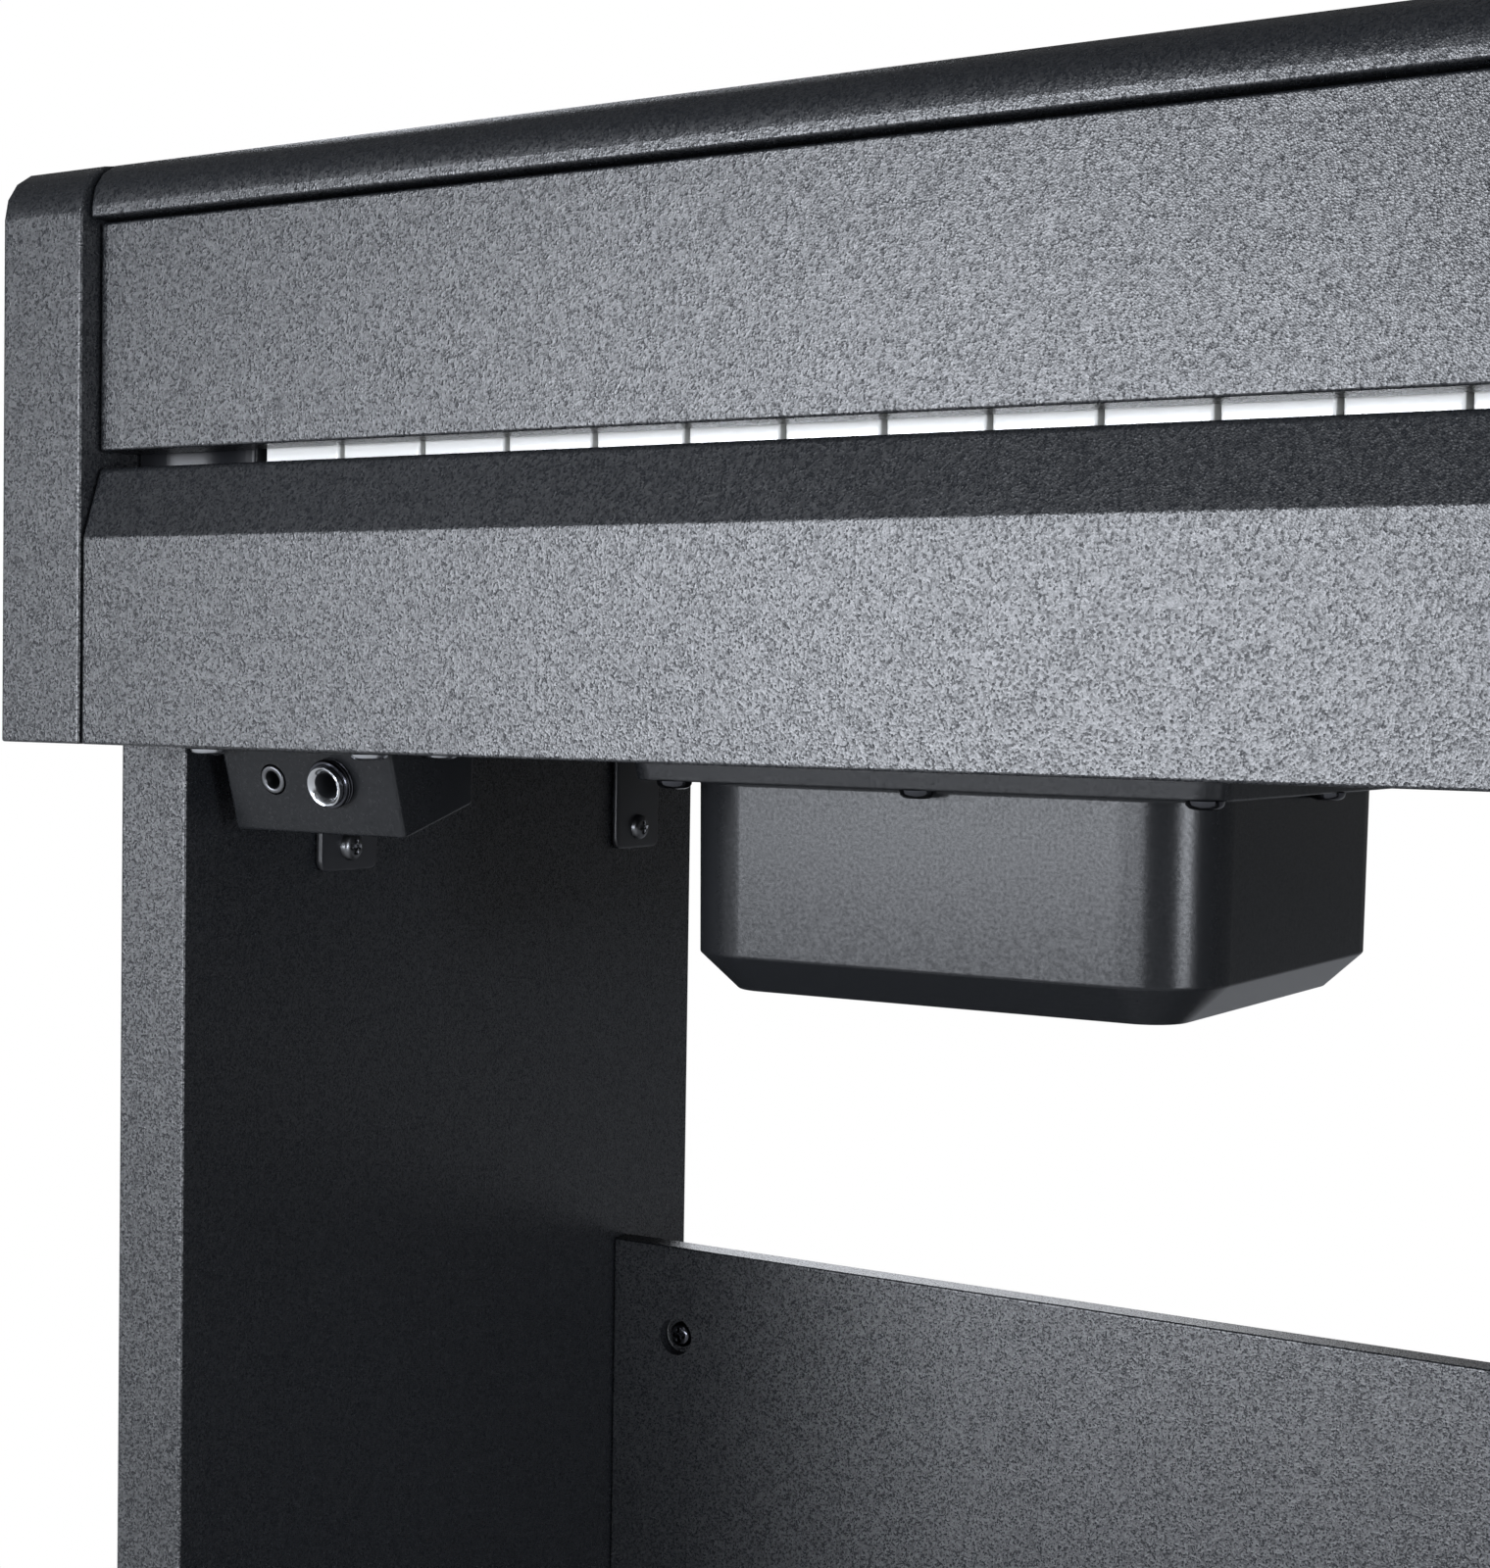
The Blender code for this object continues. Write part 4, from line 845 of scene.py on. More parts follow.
@dataclass
class Brackets:
    """Steel angles between the legs and the case, each with a screw in both leaves."""

    paint: Paint
    steel: float = 2.0 * MM
    corner: float = 3.0 * MM
    edge: float = 0.8 * MM
    screw: Screw = field(default_factory=lambda: Screw(4.0 * MM, 2.2 * MM, 1.4 * MM, 0.7 * MM, 2.2 * MM))
    drop: float = 28.3 * MM
    lead: float = 10.8 * MM
    ahead: float = 1.2 * MM
    reach: float = 18.0 * MM

    def build(self) -> None:
        """Make the four angles."""
        for side, sign in (("left", 1), ("right", -1)):
            for place in ("front", "rear"):
                self.angle(f"bracket_{place}_{side}", sign)

    def angle(self, node: str, sign: int) -> None:
        """One angle: its upright leaf has round lower corners, and its level one lies under the case."""
        low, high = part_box(node)
        steel, edge = self.steel, self.edge
        face = low.x if sign > 0 else high.x - steel
        corners = box_corners((low.y - self.ahead, low.z), (high.y, high.z))
        form = Form().bar(corners, [self.corner, self.corner, edge, edge], (face, face + steel), edge, Axis.X)
        form.block((low.x, low.y + edge, high.z - steel), (high.x, high.y - edge, high.z), edge)
        form.piece(f"{node}_angle", BODY, "steel", self.paint, [node])
        middle = (low.y + high.y) / 2
        inner = face + steel if sign > 0 else face
        along = inner + sign * self.reach - sign * steel
        screws = Form()
        screws.grid(self.screw.surface(facing((inner, low.y + self.lead, high.z - self.drop), (sign, 0, 0))))
        screws.grid(self.screw.surface(facing((along, middle, high.z - steel), (0, 0, -1))))
        screws.piece(f"{node}_screws", BODY, "steel", self.paint, finish=NICKEL)


@dataclass
class HeadphoneBox:
    """Moulded box under the left end of the case, with a small and a large jack."""

    paint: Paint
    width: float = 54.1 * MM
    face: float = 21.6 * MM
    depth: float = 27.4 * MM
    tilt: float = math.radians(16.5)
    flange: float = 1.2 * MM
    ahead: float = 10.0 * MM
    edge: float = 1.0 * MM
    small: tuple[float, float] = (15.4 * MM, 7.6 * MM)
    large: tuple[float, float] = (34.9 * MM, 7.6 * MM)
    body: float = 11.5 * MM
    rear_lean: float = 4.6 * MM
    screw: Screw = field(default_factory=lambda: Screw(4.6 * MM, 1.5 * MM, 1.0 * MM, 0.7 * MM, 2.4 * MM))
    screw_in: tuple[float, float] = (7.5 * MM, 4.2 * MM)

    def frame(self) -> Matrix:
        """Place of the sloping face's top left corner: X across, Z up the face."""
        low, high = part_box("jack_box")
        left = (low.x + high.x - self.width) / 2
        corner = (left, low.y + self.ahead, high.z - self.flange)
        return Matrix.Translation(corner) @ Matrix.Rotation(self.tilt, 4, "X")

    def jack(self, place: Sequence) -> Matrix:
        """Matrix at a jack whose Z axis comes square out of the face."""
        return self.frame() @ Matrix.Translation((place[0], 0, -place[1])) @ Matrix.Rotation(math.pi / 2, 4, "X")

    def build(self) -> None:
        """Make the box, its screws and the jacks."""
        low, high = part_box("jack_box")
        frame_place = self.frame()
        top = high.z - self.flange / 2
        slope = math.tan(self.tilt)
        lower = [frame_place @ Vector((0, y, -self.face)) for y in (0, self.depth)]
        rear = frame_place @ Vector((0, self.depth, 0))
        front_y = frame_place.translation.y - (top - frame_place.translation.z) * slope
        rear_y = rear.y - (top - rear.z) * slope + self.rear_lean
        corners = [(front_y, top), (lower[0].y, lower[0].z), (lower[1].y, lower[1].z), (rear_y, top)]
        left = frame_place.translation.x
        form = Form().bar(corners, [0, self.edge, self.edge, 0], (left, left + self.width), self.edge * 0.8, Axis.X)
        holes = Form()
        for place, radius in ((self.small, 4.0 * MM), (self.large, 5.5 * MM)):
            holes.lathe(cylinder(radius, -self.body, self.body, 0.2 * MM), self.jack(place))
        form.piece("headphone_box", BODY, "plastic", self.paint, ["jack_box"], holes)
        plate = box_corners((low.x, low.y), (high.x, high.y))
        Form().bar(plate, [6 * MM] * 4, (high.z - self.flange, high.z), 0.3 * MM, Axis.Z).piece(
            "headphone_box_flange", BODY, "plastic", self.paint)
        self.screws(low, high)
        self.small_jack()
        self.large_jack()

    def screws(self, low: Vector, high: Vector) -> None:
        """Two screws in front of the box and one beyond its right side, through the flange."""
        across, inset = self.screw_in
        left = self.frame().translation.x
        right = left + self.width
        row = low.y + inset
        under = high.z - self.flange
        form = Form()
        for point in ((left + 1.5 * MM, row), (right - inset / 3, row), (right + inset - 1.3 * MM, row + 5 * inset),
                      (left + across, high.y - inset)):
            form.grid(self.screw.surface(facing((*point, under), (0, 0, -1))))
        form.piece("headphone_box_screws", BODY, "steel", self.paint, finish=ZINC)

    def small_jack(self) -> None:
        """Small socket: a thin plated ring round a bore with a step inside."""
        ring = [(2.2, -9.5), (2.2, 0.1), (2.3, 0.35), (2.5, 0.5), (3.3, 0.5), (3.5, 0.4), (3.6, 0.2), (3.6, -0.3),
                (3.6, -11.5), (0.3, -11.5), (0.3, -9.5)]
        profile = np.array(ring) * MM
        Form().lathe(profile, self.jack(self.small), 40, closed=True).piece(
            "small_socket", BODY, "chrome", self.paint, ["jack_small"], finish=NICKEL)

    def large_jack(self) -> None:
        """Large socket: a ringed nut against the face, and a bright bush with a cone into its bore."""
        nut = [(5.3, 0.0), (6.2, 0.0), (6.2, 0.45), (6.0, 0.6), (6.0, 0.8), (6.2, 0.95), (6.2, 1.5), (6.05, 1.65),
               (6.05, 1.8), (6.2, 1.95), (6.2, 2.2), (5.9, 2.6), (5.3, 2.6)]
        bush = [(3.6, -9.5), (3.6, 2.9), (3.4, 3.15), (3.9, 3.65), (4.5, 4.1), (4.8, 4.2), (5.05, 4.05), (5.1, 3.8),
                (5.1, -11.5), (0.3, -11.5), (0.3, -9.5)]
        sleeve = [(3.2, -9.4), (3.2, 2.8), (3.3, 3.0), (3.5, 3.0), (3.55, 2.8), (3.55, -9.4)]
        place = self.jack(self.large)
        Form().lathe(np.array(sleeve) * MM, place, 48, closed=True).piece(
            "large_socket_sleeve", BODY, "satin", self.paint)
        Form().lathe(np.array(bush) * MM, place, 48, closed=True).piece(
            "large_socket", BODY, "chrome", self.paint, ["jack_large"])
        Form().lathe(np.array(nut) * MM, place, 48, closed=True).piece(
            "large_socket_nut", BODY, "chrome", self.paint, finish=BLACK_CHROME)


@dataclass
class Keyboard:
    """White and black keys with rounded edges, one mesh for each octave set, and the end blocks."""

    paint: Paint
    pitch: float = 23.5 * MM
    count: int = 52
    gap: float = 1.0 * MM
    slit: tuple[float, float] = (0.3 * MM, 1.1 * MM)
    head: float = 50.0 * MM
    round_edge: float = 0.55 * MM
    black_wide: float = 9.8 * MM
    black_top: float = 8.6 * MM
    black_clear: float = 1.2 * MM
    black_long: float = 95.0 * MM
    black_deep: float = 11.5 * MM
    slope: float = 4.0 * MM
    tail_wide: float = 7.8 * MM
    tail_deep: float = 9.0 * MM
    bridge: tuple[float, float] = (7.0 * MM, 7.5 * MM)
    octave: int = 7
    first_note: int = 5
    block_dip: float = 2.0 * MM
    block_land: float = 7.5 * MM
    after: dict = field(default_factory=lambda: {0: -2.2 * MM, 1: 2.2 * MM, 3: -3.3 * MM, 4: 0.0, 5: 3.3 * MM})

    def left(self, index: int) -> float:
        """Left edge of a white key's place."""
        return (index - self.count / 2) * self.pitch

    def black(self, index: int) -> Optional[float]:
        """Middle of the black key after a white key, or None."""
        note = (index + self.first_note) % self.octave
        if note not in self.after or not 0 <= index < self.count - 1:
            return None
        return self.left(index + 1) + self.after[note]

    def members(self, number: int) -> range:
        """White keys of an octave set."""
        lead = self.octave - self.first_note
        first = 0 if number == 1 else lead + self.octave * (number - 1)
        last = self.count if number == self.octave else lead + self.octave * number
        return range(first, last)

    def plan(self, index: int, front: float, rear: float) -> tuple[np.ndarray, np.ndarray]:
        """Plan of a white key, notched for its black neighbours, its corners rounded."""
        left, right = self.left(index) + self.slit[0], self.left(index + 1) - self.slit[1]
        before, behind = self.black(index - 1), self.black(index)
        reach = self.black_wide / 2 + self.black_clear
        notch = front + self.head - self.black_clear
        corners = [(left, front), (right, front)]
        if behind is not None:
            corners += [(right, notch), (behind - reach, notch), (behind - reach, rear)]
        else:
            corners += [(right, rear)]
        if before is not None:
            corners += [(before + reach, rear), (before + reach, notch), (left, notch)]
        else:
            corners += [(left, rear)]
        return filleted(corners, [self.round_edge] * len(corners), 3)

    def build(self) -> None:
        """Make all fourteen sets and the two end blocks."""
        for number in range(1, self.octave + 1):
            self.white_set(number)
            self.black_set(number)
        for side, sign in (("left", 1), ("right", -1)):
            self.end_block(side, sign)

    def white_set(self, number: int) -> None:
        """White keys of one octave and the bridge that joins them at the back."""
        node = f"white_keys_{number}"
        low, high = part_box(node)
        form = Form()
        for index in self.members(number):
            outline, outward = self.plan(index, low.y, high.y)
            form.grid(carried(outline, outward, eased(low.z, high.z, self.round_edge), Axis.Z))
        long, deep = self.bridge
        inset = 3 * self.gap
        form.block((low.x + inset, high.y - long, low.z + self.gap),
                   (high.x - inset, high.y - self.gap, low.z + deep), self.gap / 4)
        form.piece(f"white_key_tops_{number}", node, "ivory", self.paint, [node])

    def black_set(self, number: int) -> None:
        """Black keys of one octave, their tails and the bridge that joins them."""
        node = f"black_keys_{number}"
        low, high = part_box(node)
        form = Form()
        half = self.tail_wide / 2
        for index in self.members(number):
            middle = self.black(index)
            if middle is None:
                continue
            form.grid(self.black_key(middle, low, high))
            form.block((middle - half, low.y + self.black_long - 2 * self.bridge[0], low.z + self.gap / 2),
                       (middle + half, high.y, low.z + self.tail_deep), self.gap / 4)
        form.block((low.x + self.gap, high.y - self.bridge[0], low.z + self.gap),
                   (high.x - self.gap, high.y - self.gap, low.z + self.tail_deep - self.gap), self.gap / 4)
        form.piece(f"black_key_tops_{number}", node, "ebony", self.paint, [node])

    def black_key(self, middle: float, low: Vector, high: Vector) -> np.ndarray:
        """One black key's head: a trapezium carried back along Y, its front leaning by the slope.

        The front stations move back by the slope times the share of the height.
        """
        base = low.z
        wide, top = self.black_wide / 2, self.black_top / 2
        corners = [(middle - wide, base), (middle + wide, base), (middle + top, high.z), (middle - top, high.z)]
        outline, outward = filleted(corners, [0.3 * MM, 0.3 * MM, 1.8 * MM, 1.8 * MM], 5)
        points = carried(outline, outward, eased(low.y, low.y + self.black_long, 1.2 * MM, 4), Axis.Y)
        share = np.clip((points[..., 2] - base) / (high.z - base), 0, 1)
        front = np.clip((low.y + 4 * self.slope - points[..., 1]) / (4 * self.slope), 0, 1)
        points[..., 1] += self.slope * share * front
        return points

    def end_block(self, side: str, sign: int) -> None:
        """Glossy end block, hollowed in front.

        The front lies straight for the land next to the cheek, then dips by half the dip times
        (1 - cos 2 pi s) over its share s of the rest.
        """
        node = f"key_block_{side}"
        low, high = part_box(node)
        width = high.x - low.x
        share = np.linspace(0, 1, 25)[1:-1]
        rest = width - self.block_land - 2 * self.gap
        run = self.block_land + rest * share
        dip = self.block_dip / 2 * (1 - np.cos(2 * math.pi * share))
        front = [(0, 0), *zip(run, dip), (width, 0), (width, high.y - low.y), (0, high.y - low.y)]
        radii = [0.3 * MM] + [0.0] * len(run) + [self.gap, 0.3 * MM, 0.3 * MM]
        outline, outward = filleted(front, radii, 4)
        points = carried(outline, outward, eased(low.z, high.z, self.gap), Axis.Z)
        points[..., 0] = low.x + points[..., 0] if sign > 0 else high.x - points[..., 0]
        points[..., 1] += low.y
        Form().grid(points).piece(f"{node}_gloss", BODY, "gloss", self.paint, [node])


@dataclass
class Controls:
    """Panel behind the keys with its apron, buttons, knob and scale, and the power inlet."""

    paint: Paint
    apron: float = 11.0 * MM
    thick: float = 3.0 * MM
    nose: float = 1.4 * MM
    edge: float = 0.4 * MM
    gap: float = 0.4 * MM
    flutes: int = 40
    flute: float = 0.35 * MM
    ticks: int = 11
    mark: float = 0.15 * MM

    def build(self) -> None:
        """Make them all."""
        self.panel()
        self.button("power_button")
        self.button("function_button")
        self.power_mark()
        self.knob()
        self.scale()
        self.inlet()

    def panel(self) -> None:
        """Panel: a plate whose front turns down behind the keys, pierced for the buttons."""
        low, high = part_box("control_panel")
        holes = Form()
        for node in ("power_button", "function_button"):
            button_low, button_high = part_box(node)
            middle = (button_low + button_high) / 2
            radius = (button_high.x - button_low.x) / 2 + self.gap
            holes.lathe(cylinder(radius, -self.apron, self.apron, self.edge), Matrix.Translation(middle))
        corners = [(low.y, low.z - self.apron), (low.y + self.thick, low.z - self.apron), (low.y + self.thick, low.z),
                   (high.y, low.z), (high.y, high.z), (low.y, high.z)]
        radii = [self.edge] * 5 + [self.nose]
        form = Form().bar(corners, radii, (low.x, high.x), self.edge, Axis.X)
        form.piece("control_panel_moulding", BODY, "satin", self.paint, ["control_panel"], holes)

    def button(self, node: str) -> None:
        """Round button with a dished top: its height falls by the square of the share of the radius."""
        low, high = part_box(node)
        radius = (high.x - low.x) / 2
        share = np.linspace(0.02, 0.86, 8)
        dish = np.stack((radius * share, high.z - self.mark * 2 * (1 - share ** 2)), 1)
        rim = filleted([(radius * 0.9, low.z), (radius, low.z), (radius, high.z), (radius * 0.9, high.z)],
                       [0, self.edge, self.edge * 1.4, 0], 4)[0][3:-3]
        profile = np.concatenate((rim, dish[::-1]))
        place = Matrix.Translation(((low.x + high.x) / 2, (low.y + high.y) / 2, 0))
        Form().lathe(profile, place, 48).piece(f"{node}_cap", node, "button", self.paint, [node])

    def power_mark(self) -> None:
        """Usual standby sign on the power button: a ring open at the back, and a bar in the opening."""
        low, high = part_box("power_button")
        middle = Vector(((low.x + high.x) / 2, (low.y + high.y) / 2, high.z - self.mark))
        angle = np.radians(np.linspace(130, 410, 29))[:, None]
        turn = np.linspace(0, 2 * math.pi, 8, endpoint=False)[None]
        radius = 2.4 * MM + self.mark * np.cos(turn)
        ring = np.stack((radius * np.cos(angle), radius * np.sin(angle), self.mark * np.sin(turn) + 0 * angle), -1)
        form = Form().grid(ring + np.array(middle))
        form.block(middle + Vector((-self.mark, 1.0 * MM, -self.mark)),
                   middle + Vector((self.mark, 3.2 * MM, self.mark)), self.mark / 3)
        form.piece("power_mark", "power_button", "ivory", self.paint)

    def knob(self) -> None:
        """Fluted knob: the radius at an angle a is less by half a flute times (1 - cos(flutes a))."""
        low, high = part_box("volume_knob")
        middle = ((low.x + high.x) / 2, (low.y + high.y) / 2)
        radius, tall = (high.x - low.x) / 2, high.z - low.z
        profile = np.array([(0.30, 0.0), (0.97, 0.0), (1.0, 0.04), (1.0, 0.80), (0.99, 0.88), (0.94, 0.96),
                            (0.86, 1.0), (0.78, 0.99), (0.60, 0.95), (0.30, 0.93), (0.03, 0.93)])
        grip = np.array([0, 0, 0.6, 1, 1, 0.4, 0, 0, 0, 0, 0])
        angle = np.linspace(0, 2 * math.pi, self.flutes * 6, endpoint=False)
        cut = self.flute / 2 * (1 - np.cos(self.flutes * angle))
        reach = radius * profile[:, :1] - grip[:, None] * cut[None]
        height = np.broadcast_to(low.z + tall * profile[:, 1:], reach.shape)
        points = np.stack((middle[0] + reach * np.cos(angle), middle[1] + reach * np.sin(angle), height), -1)
        Form().grid(points).piece("volume_knob_cap", "volume_knob", "button", self.paint, ["volume_knob"])
        top = low.z + tall * 0.97
        pointer = Form().block((middle[0] - self.gap, middle[1] + radius * 0.35, top - tall * 0.05),
                               (middle[0] + self.gap, middle[1] + radius * 0.85, top + tall * 0.02), self.mark)
        pointer.piece("volume_pointer", "volume_knob", "ivory", self.paint)

    def scale(self) -> None:
        """Arc of short lines round the knob, longer at both ends and in the middle."""
        low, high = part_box("volume_knob")
        middle = Vector(((low.x + high.x) / 2, (low.y + high.y) / 2, low.z - 0.3 * MM))
        radius = (high.x - low.x) / 2 + 2.2 * MM
        form = Form()
        for place, angle in enumerate(np.radians(np.linspace(225, -45, self.ticks))):
            long = 2.6 * MM if place in (0, self.ticks // 2, self.ticks - 1) else 1.6 * MM
            stroke = Form().block((0, -self.mark, -self.mark / 2), (long, self.mark, self.mark), self.mark / 3)
            turn = Matrix.Translation(middle) @ Matrix.Rotation(angle, 4, "Z") @ Matrix.Translation((radius, 0, 0))
            form.add(stroke, turn)
        form.piece("volume_scale", BODY, "ivory", self.paint)

    def inlet(self) -> None:
        """Power inlet: a moulded block with a bore, and a pin in the bore."""
        low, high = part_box("dc_inlet")
        middle = ((low.x + high.x) / 2, high.y, (low.z + high.z) / 2)
        out = facing(middle, (0, 1, 0))
        hole = Form().lathe(cylinder(3.25 * MM, -10.4 * MM, 5 * MM, self.edge / 2), out)
        Form().block(low, high, self.edge, Axis.Y).piece("inlet_block", BODY, "satin", self.paint, ["dc_inlet"], hole)
        pin = Form().lathe(cylinder(1.0 * MM, -10.6 * MM, -1.5 * MM, 0.5 * MM), out, 24)
        pin.piece("inlet_pin", BODY, "chrome", self.paint)
        collar = cylinder(5.0 * MM, -0.2 * MM, 0.5 * MM, 0.2 * MM, 3.4 * MM)
        Form().lathe(collar, out, 40, closed=True).piece("inlet_collar", BODY, "chrome", self.paint)


@dataclass
class Hinges:
    """Long hinges of the lid and the flap, and the folding music ledge."""

    paint: Paint
    radius: float = 1.5 * MM
    leaf: float = 0.6 * MM
    wide: float = 12.0 * MM
    knuckle: float = 25.0 * MM
    gap: float = 0.4 * MM
    sides: int = 14
    edge: float = 0.15 * MM

    def build(self) -> None:
        """Make both hinges and the ledge."""
        self.strip("lid_hinge", BODY, (0, 0, -1))
        self.strip("flap_hinge", "lid", (0, 1, 0))
        low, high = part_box("music_ledge")
        Form().block(low, high, 1.2 * MM, Axis.X).piece("music_ledge_bar", "ledge", "satin", self.paint,
                                                         ["music_ledge"])
        lip_low = (low.x + 6 * MM, low.y + 2 * MM, low.z - 0.5 * MM)
        lip_high = (high.x - 6 * MM, low.y + 8 * MM, low.z)
        Form().block(lip_low, lip_high, 0.2 * MM, Axis.X).piece("music_ledge_grip", "ledge", "rubber", self.paint)

    def strip(self, node: str, body: str, towards: Sequence) -> None:
        """One hinge: its barrel narrows to the pin at the gap between every two knuckles.

        The barrel is a circle carried along X whose radius drops to two thirds across each gap.
        """
        low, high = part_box(node)
        down = towards[2] < 0
        centre = ((low.y + high.y) / 2, high.z - self.radius) if down else (low.y + self.radius, (low.z + high.z) / 2)
        count = round((high.x - low.x) / self.knuckle)
        ends = np.linspace(low.x, high.x, count + 1)
        half = self.gap / 2
        step = np.array((half, half + self.edge * 2))
        places = np.concatenate((ends[:-1, None] + step, ends[1:, None] - step[::-1]), 1)
        size = np.tile((0.86, 1.0, 1.0, 0.86), (count, 1)) * self.radius
        waist = np.stack((ends[:-1] - half + self.edge, ends[:-1] + half - self.edge), 1)[1:]
        places = np.concatenate((places[:-1], waist), 1).reshape(-1)
        size = np.concatenate((size[:-1], np.full(waist.shape, self.radius * 0.66)), 1).reshape(-1)
        order = np.argsort(places, kind="stable")
        angle = np.linspace(0, 2 * math.pi, self.sides, endpoint=False)
        x = np.repeat(places[order][:, None], self.sides, 1)
        reach = size[order][:, None]
        points = np.stack((x, centre[0] + reach * np.cos(angle), centre[1] + reach * np.sin(angle)), -1)
        form = Form().grid(points)
        thin = self.leaf / 2
        if down:
            form.block((low.x + self.gap, centre[0] - thin, low.z), (high.x - self.gap, centre[0] + thin, centre[1]),
                       self.edge, Axis.X)
        else:
            form.block((low.x + self.gap, centre[0], centre[1] - thin), (high.x - self.gap, high.y, centre[1] + thin),
                       self.edge, Axis.X)
        form.piece(f"{node}_strip", body, "steel", self.paint, [node])


@dataclass
class Pedals:
    """Beam with lined slots, brass pedals and the levelling foot."""

    paint: Paint
    arris: float = 0.6 * MM
    board: float = 12.0 * MM
    shoe: float = 27.0 * MM
    stem: float = 16.0 * MM
    shoe_long: float = 56.0 * MM
    crown: float = 3.2 * MM
    slot: tuple[float, float, float] = (17.0 * MM, 12.5 * MM, 7.5 * MM)
    liner: float = 2.0 * MM
    pin: tuple[float, float] = (3.0 * MM, 38.0 * MM)
    boss: tuple[float, float] = (7.0 * MM, 16.8 * MM)
    pivot_back: float = 45.0 * MM
    flutes: int = 24

    def build(self) -> None:
        """Make them all."""
        self.beam()
        for name in ("left", "middle", "right"):
            self.pedal(name)
        self.foot()
        for side in ("left", "right"):
            node = f"foot_strip_{side}"
            low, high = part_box(node)
            corners = box_corners((low.x, low.y), (high.x, high.y))
            Form().bar(corners, [5 * MM] * 4, (low.z, high.z), 1 * MM, Axis.Z).piece(
                f"{node}_pad", BODY, "rubber", self.paint, [node])

    def pivot(self, name: str) -> Vector:
        """Pivot of a pedal, worked out from the beam and the pedal's own box."""
        low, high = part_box(f"pedal_{name}")
        beam_low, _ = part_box("pedal_beam")
        return Vector(((low.x + high.x) / 2, beam_low.y + self.pivot_back, (low.z + high.z) / 2))

    def beam(self) -> None:
        """Beam: a channel open at the back, cut for the three pedals and the foot's stem."""
        low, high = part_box("pedal_beam")
        board = self.board
        corners = [(low.y, low.z), (high.y, low.z), (high.y, low.z + board), (low.y + board, low.z + board),
                   (low.y + board, high.z - board), (high.y, high.z - board), (high.y, high.z), (low.y, high.z)]
        holes, liners = Form(), Form()
        half, below, above = self.slot
        for name in ("left", "middle", "right"):
            point = self.pivot(name)
            hole_low = (point.x - half, low.y - board, point.z - below)
            hole_high = (point.x + half, low.y + 1.4 * board, point.z + above)
            holes.block(hole_low, hole_high, self.arris, Axis.Y)
            liners.grid(self.slot_liner(hole_low, hole_high, low.y), closed=True)
        foot_low, foot_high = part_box("levelling_foot")
        middle = (foot_low + foot_high) / 2
        holes.lathe(cylinder(5.4 * MM, low.z - board, low.z + 1.4 * board, self.arris),
                    Matrix.Translation((middle.x, middle.y, 0)))
        form = Form().bar(corners, [self.arris] * len(corners), (low.x, high.x), self.arris, Axis.X)
        form.piece("pedal_beam_channel", BODY, "laminate", self.paint, ["pedal_beam"], holes)
        liners.piece("pedal_slot_liners", BODY, "satin", self.paint)

    def slot_liner(self, low: Sequence, high: Sequence, face: float) -> np.ndarray:
        """Frame round a slot: a small round-edged section carried round the slot's outline."""
        outline, outward = filleted(box_corners((low[0], low[2]), (high[0], high[2])), [2 * MM] * 4, 5)
        section = np.array(((0.1, -0.9), (2.2, -0.9), (2.5, -0.5), (2.5, 0.0), (0.9, 0.0), (0.9, 10.0), (0.1, 10.0)))
        spread, depth = (section[:, 0] - 1.0) * MM, section[:, 1] * MM
        flat = outline[None] + spread[:, None, None] * outward[None]
        level = np.broadcast_to(face + depth[:, None, None], (*flat.shape[:2], 1))
        return np.concatenate((flat[..., :1], level, flat[..., 1:]), -1)

    def pedal(self, name: str) -> None:
        """Pedal: the plan of its shoe and stem, drawn in over a round top edge, with its boss and pin.

        Its plan is a half circle, two straight sides, a slope to the stem, and the stem.
        """
        node = f"pedal_{name}"
        low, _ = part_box(node)
        point = self.pivot(name)
        thick = 8.0 * MM
        shoe, stem = self.shoe / 2, self.stem / 2
        neck = low.y + self.shoe_long
        corners = [(-shoe, low.y), (shoe, low.y), (shoe, neck - shoe), (stem, neck), (stem, point.y),
                   (-stem, point.y), (-stem, neck), (-shoe, neck - shoe)]
        radii = [shoe * 0.98, shoe * 0.98, 9 * MM, 9 * MM, 2 * MM, 2 * MM, 9 * MM, 9 * MM]
        outline, outward = filleted([(point.x + x, y) for x, y in corners], radii, 10)
        base, top = point.z - thick / 2, point.z + thick / 2
        lower = eased(base, top, 1.2 * MM, 4)[:5]
        angle = np.linspace(0, math.pi / 2, 8)
        upper = np.stack((top - self.crown * (1 - np.sin(angle)), self.crown * (1 - np.cos(angle))), 1)
        stations = np.concatenate((lower, upper))
        form = Form().grid(carried(outline, outward, stations, Axis.Z))
        axle = along_x(point)
        form.lathe(cylinder(self.boss[0], -self.boss[1] / 2, self.boss[1] / 2, 0.6 * MM), axle)
        form.lathe(cylinder(self.pin[0], -self.pin[1] / 2, self.pin[1] / 2, 0.5 * MM), axle, 24)
        form.piece(f"{node}_brass", node, "brass", self.paint, [node])

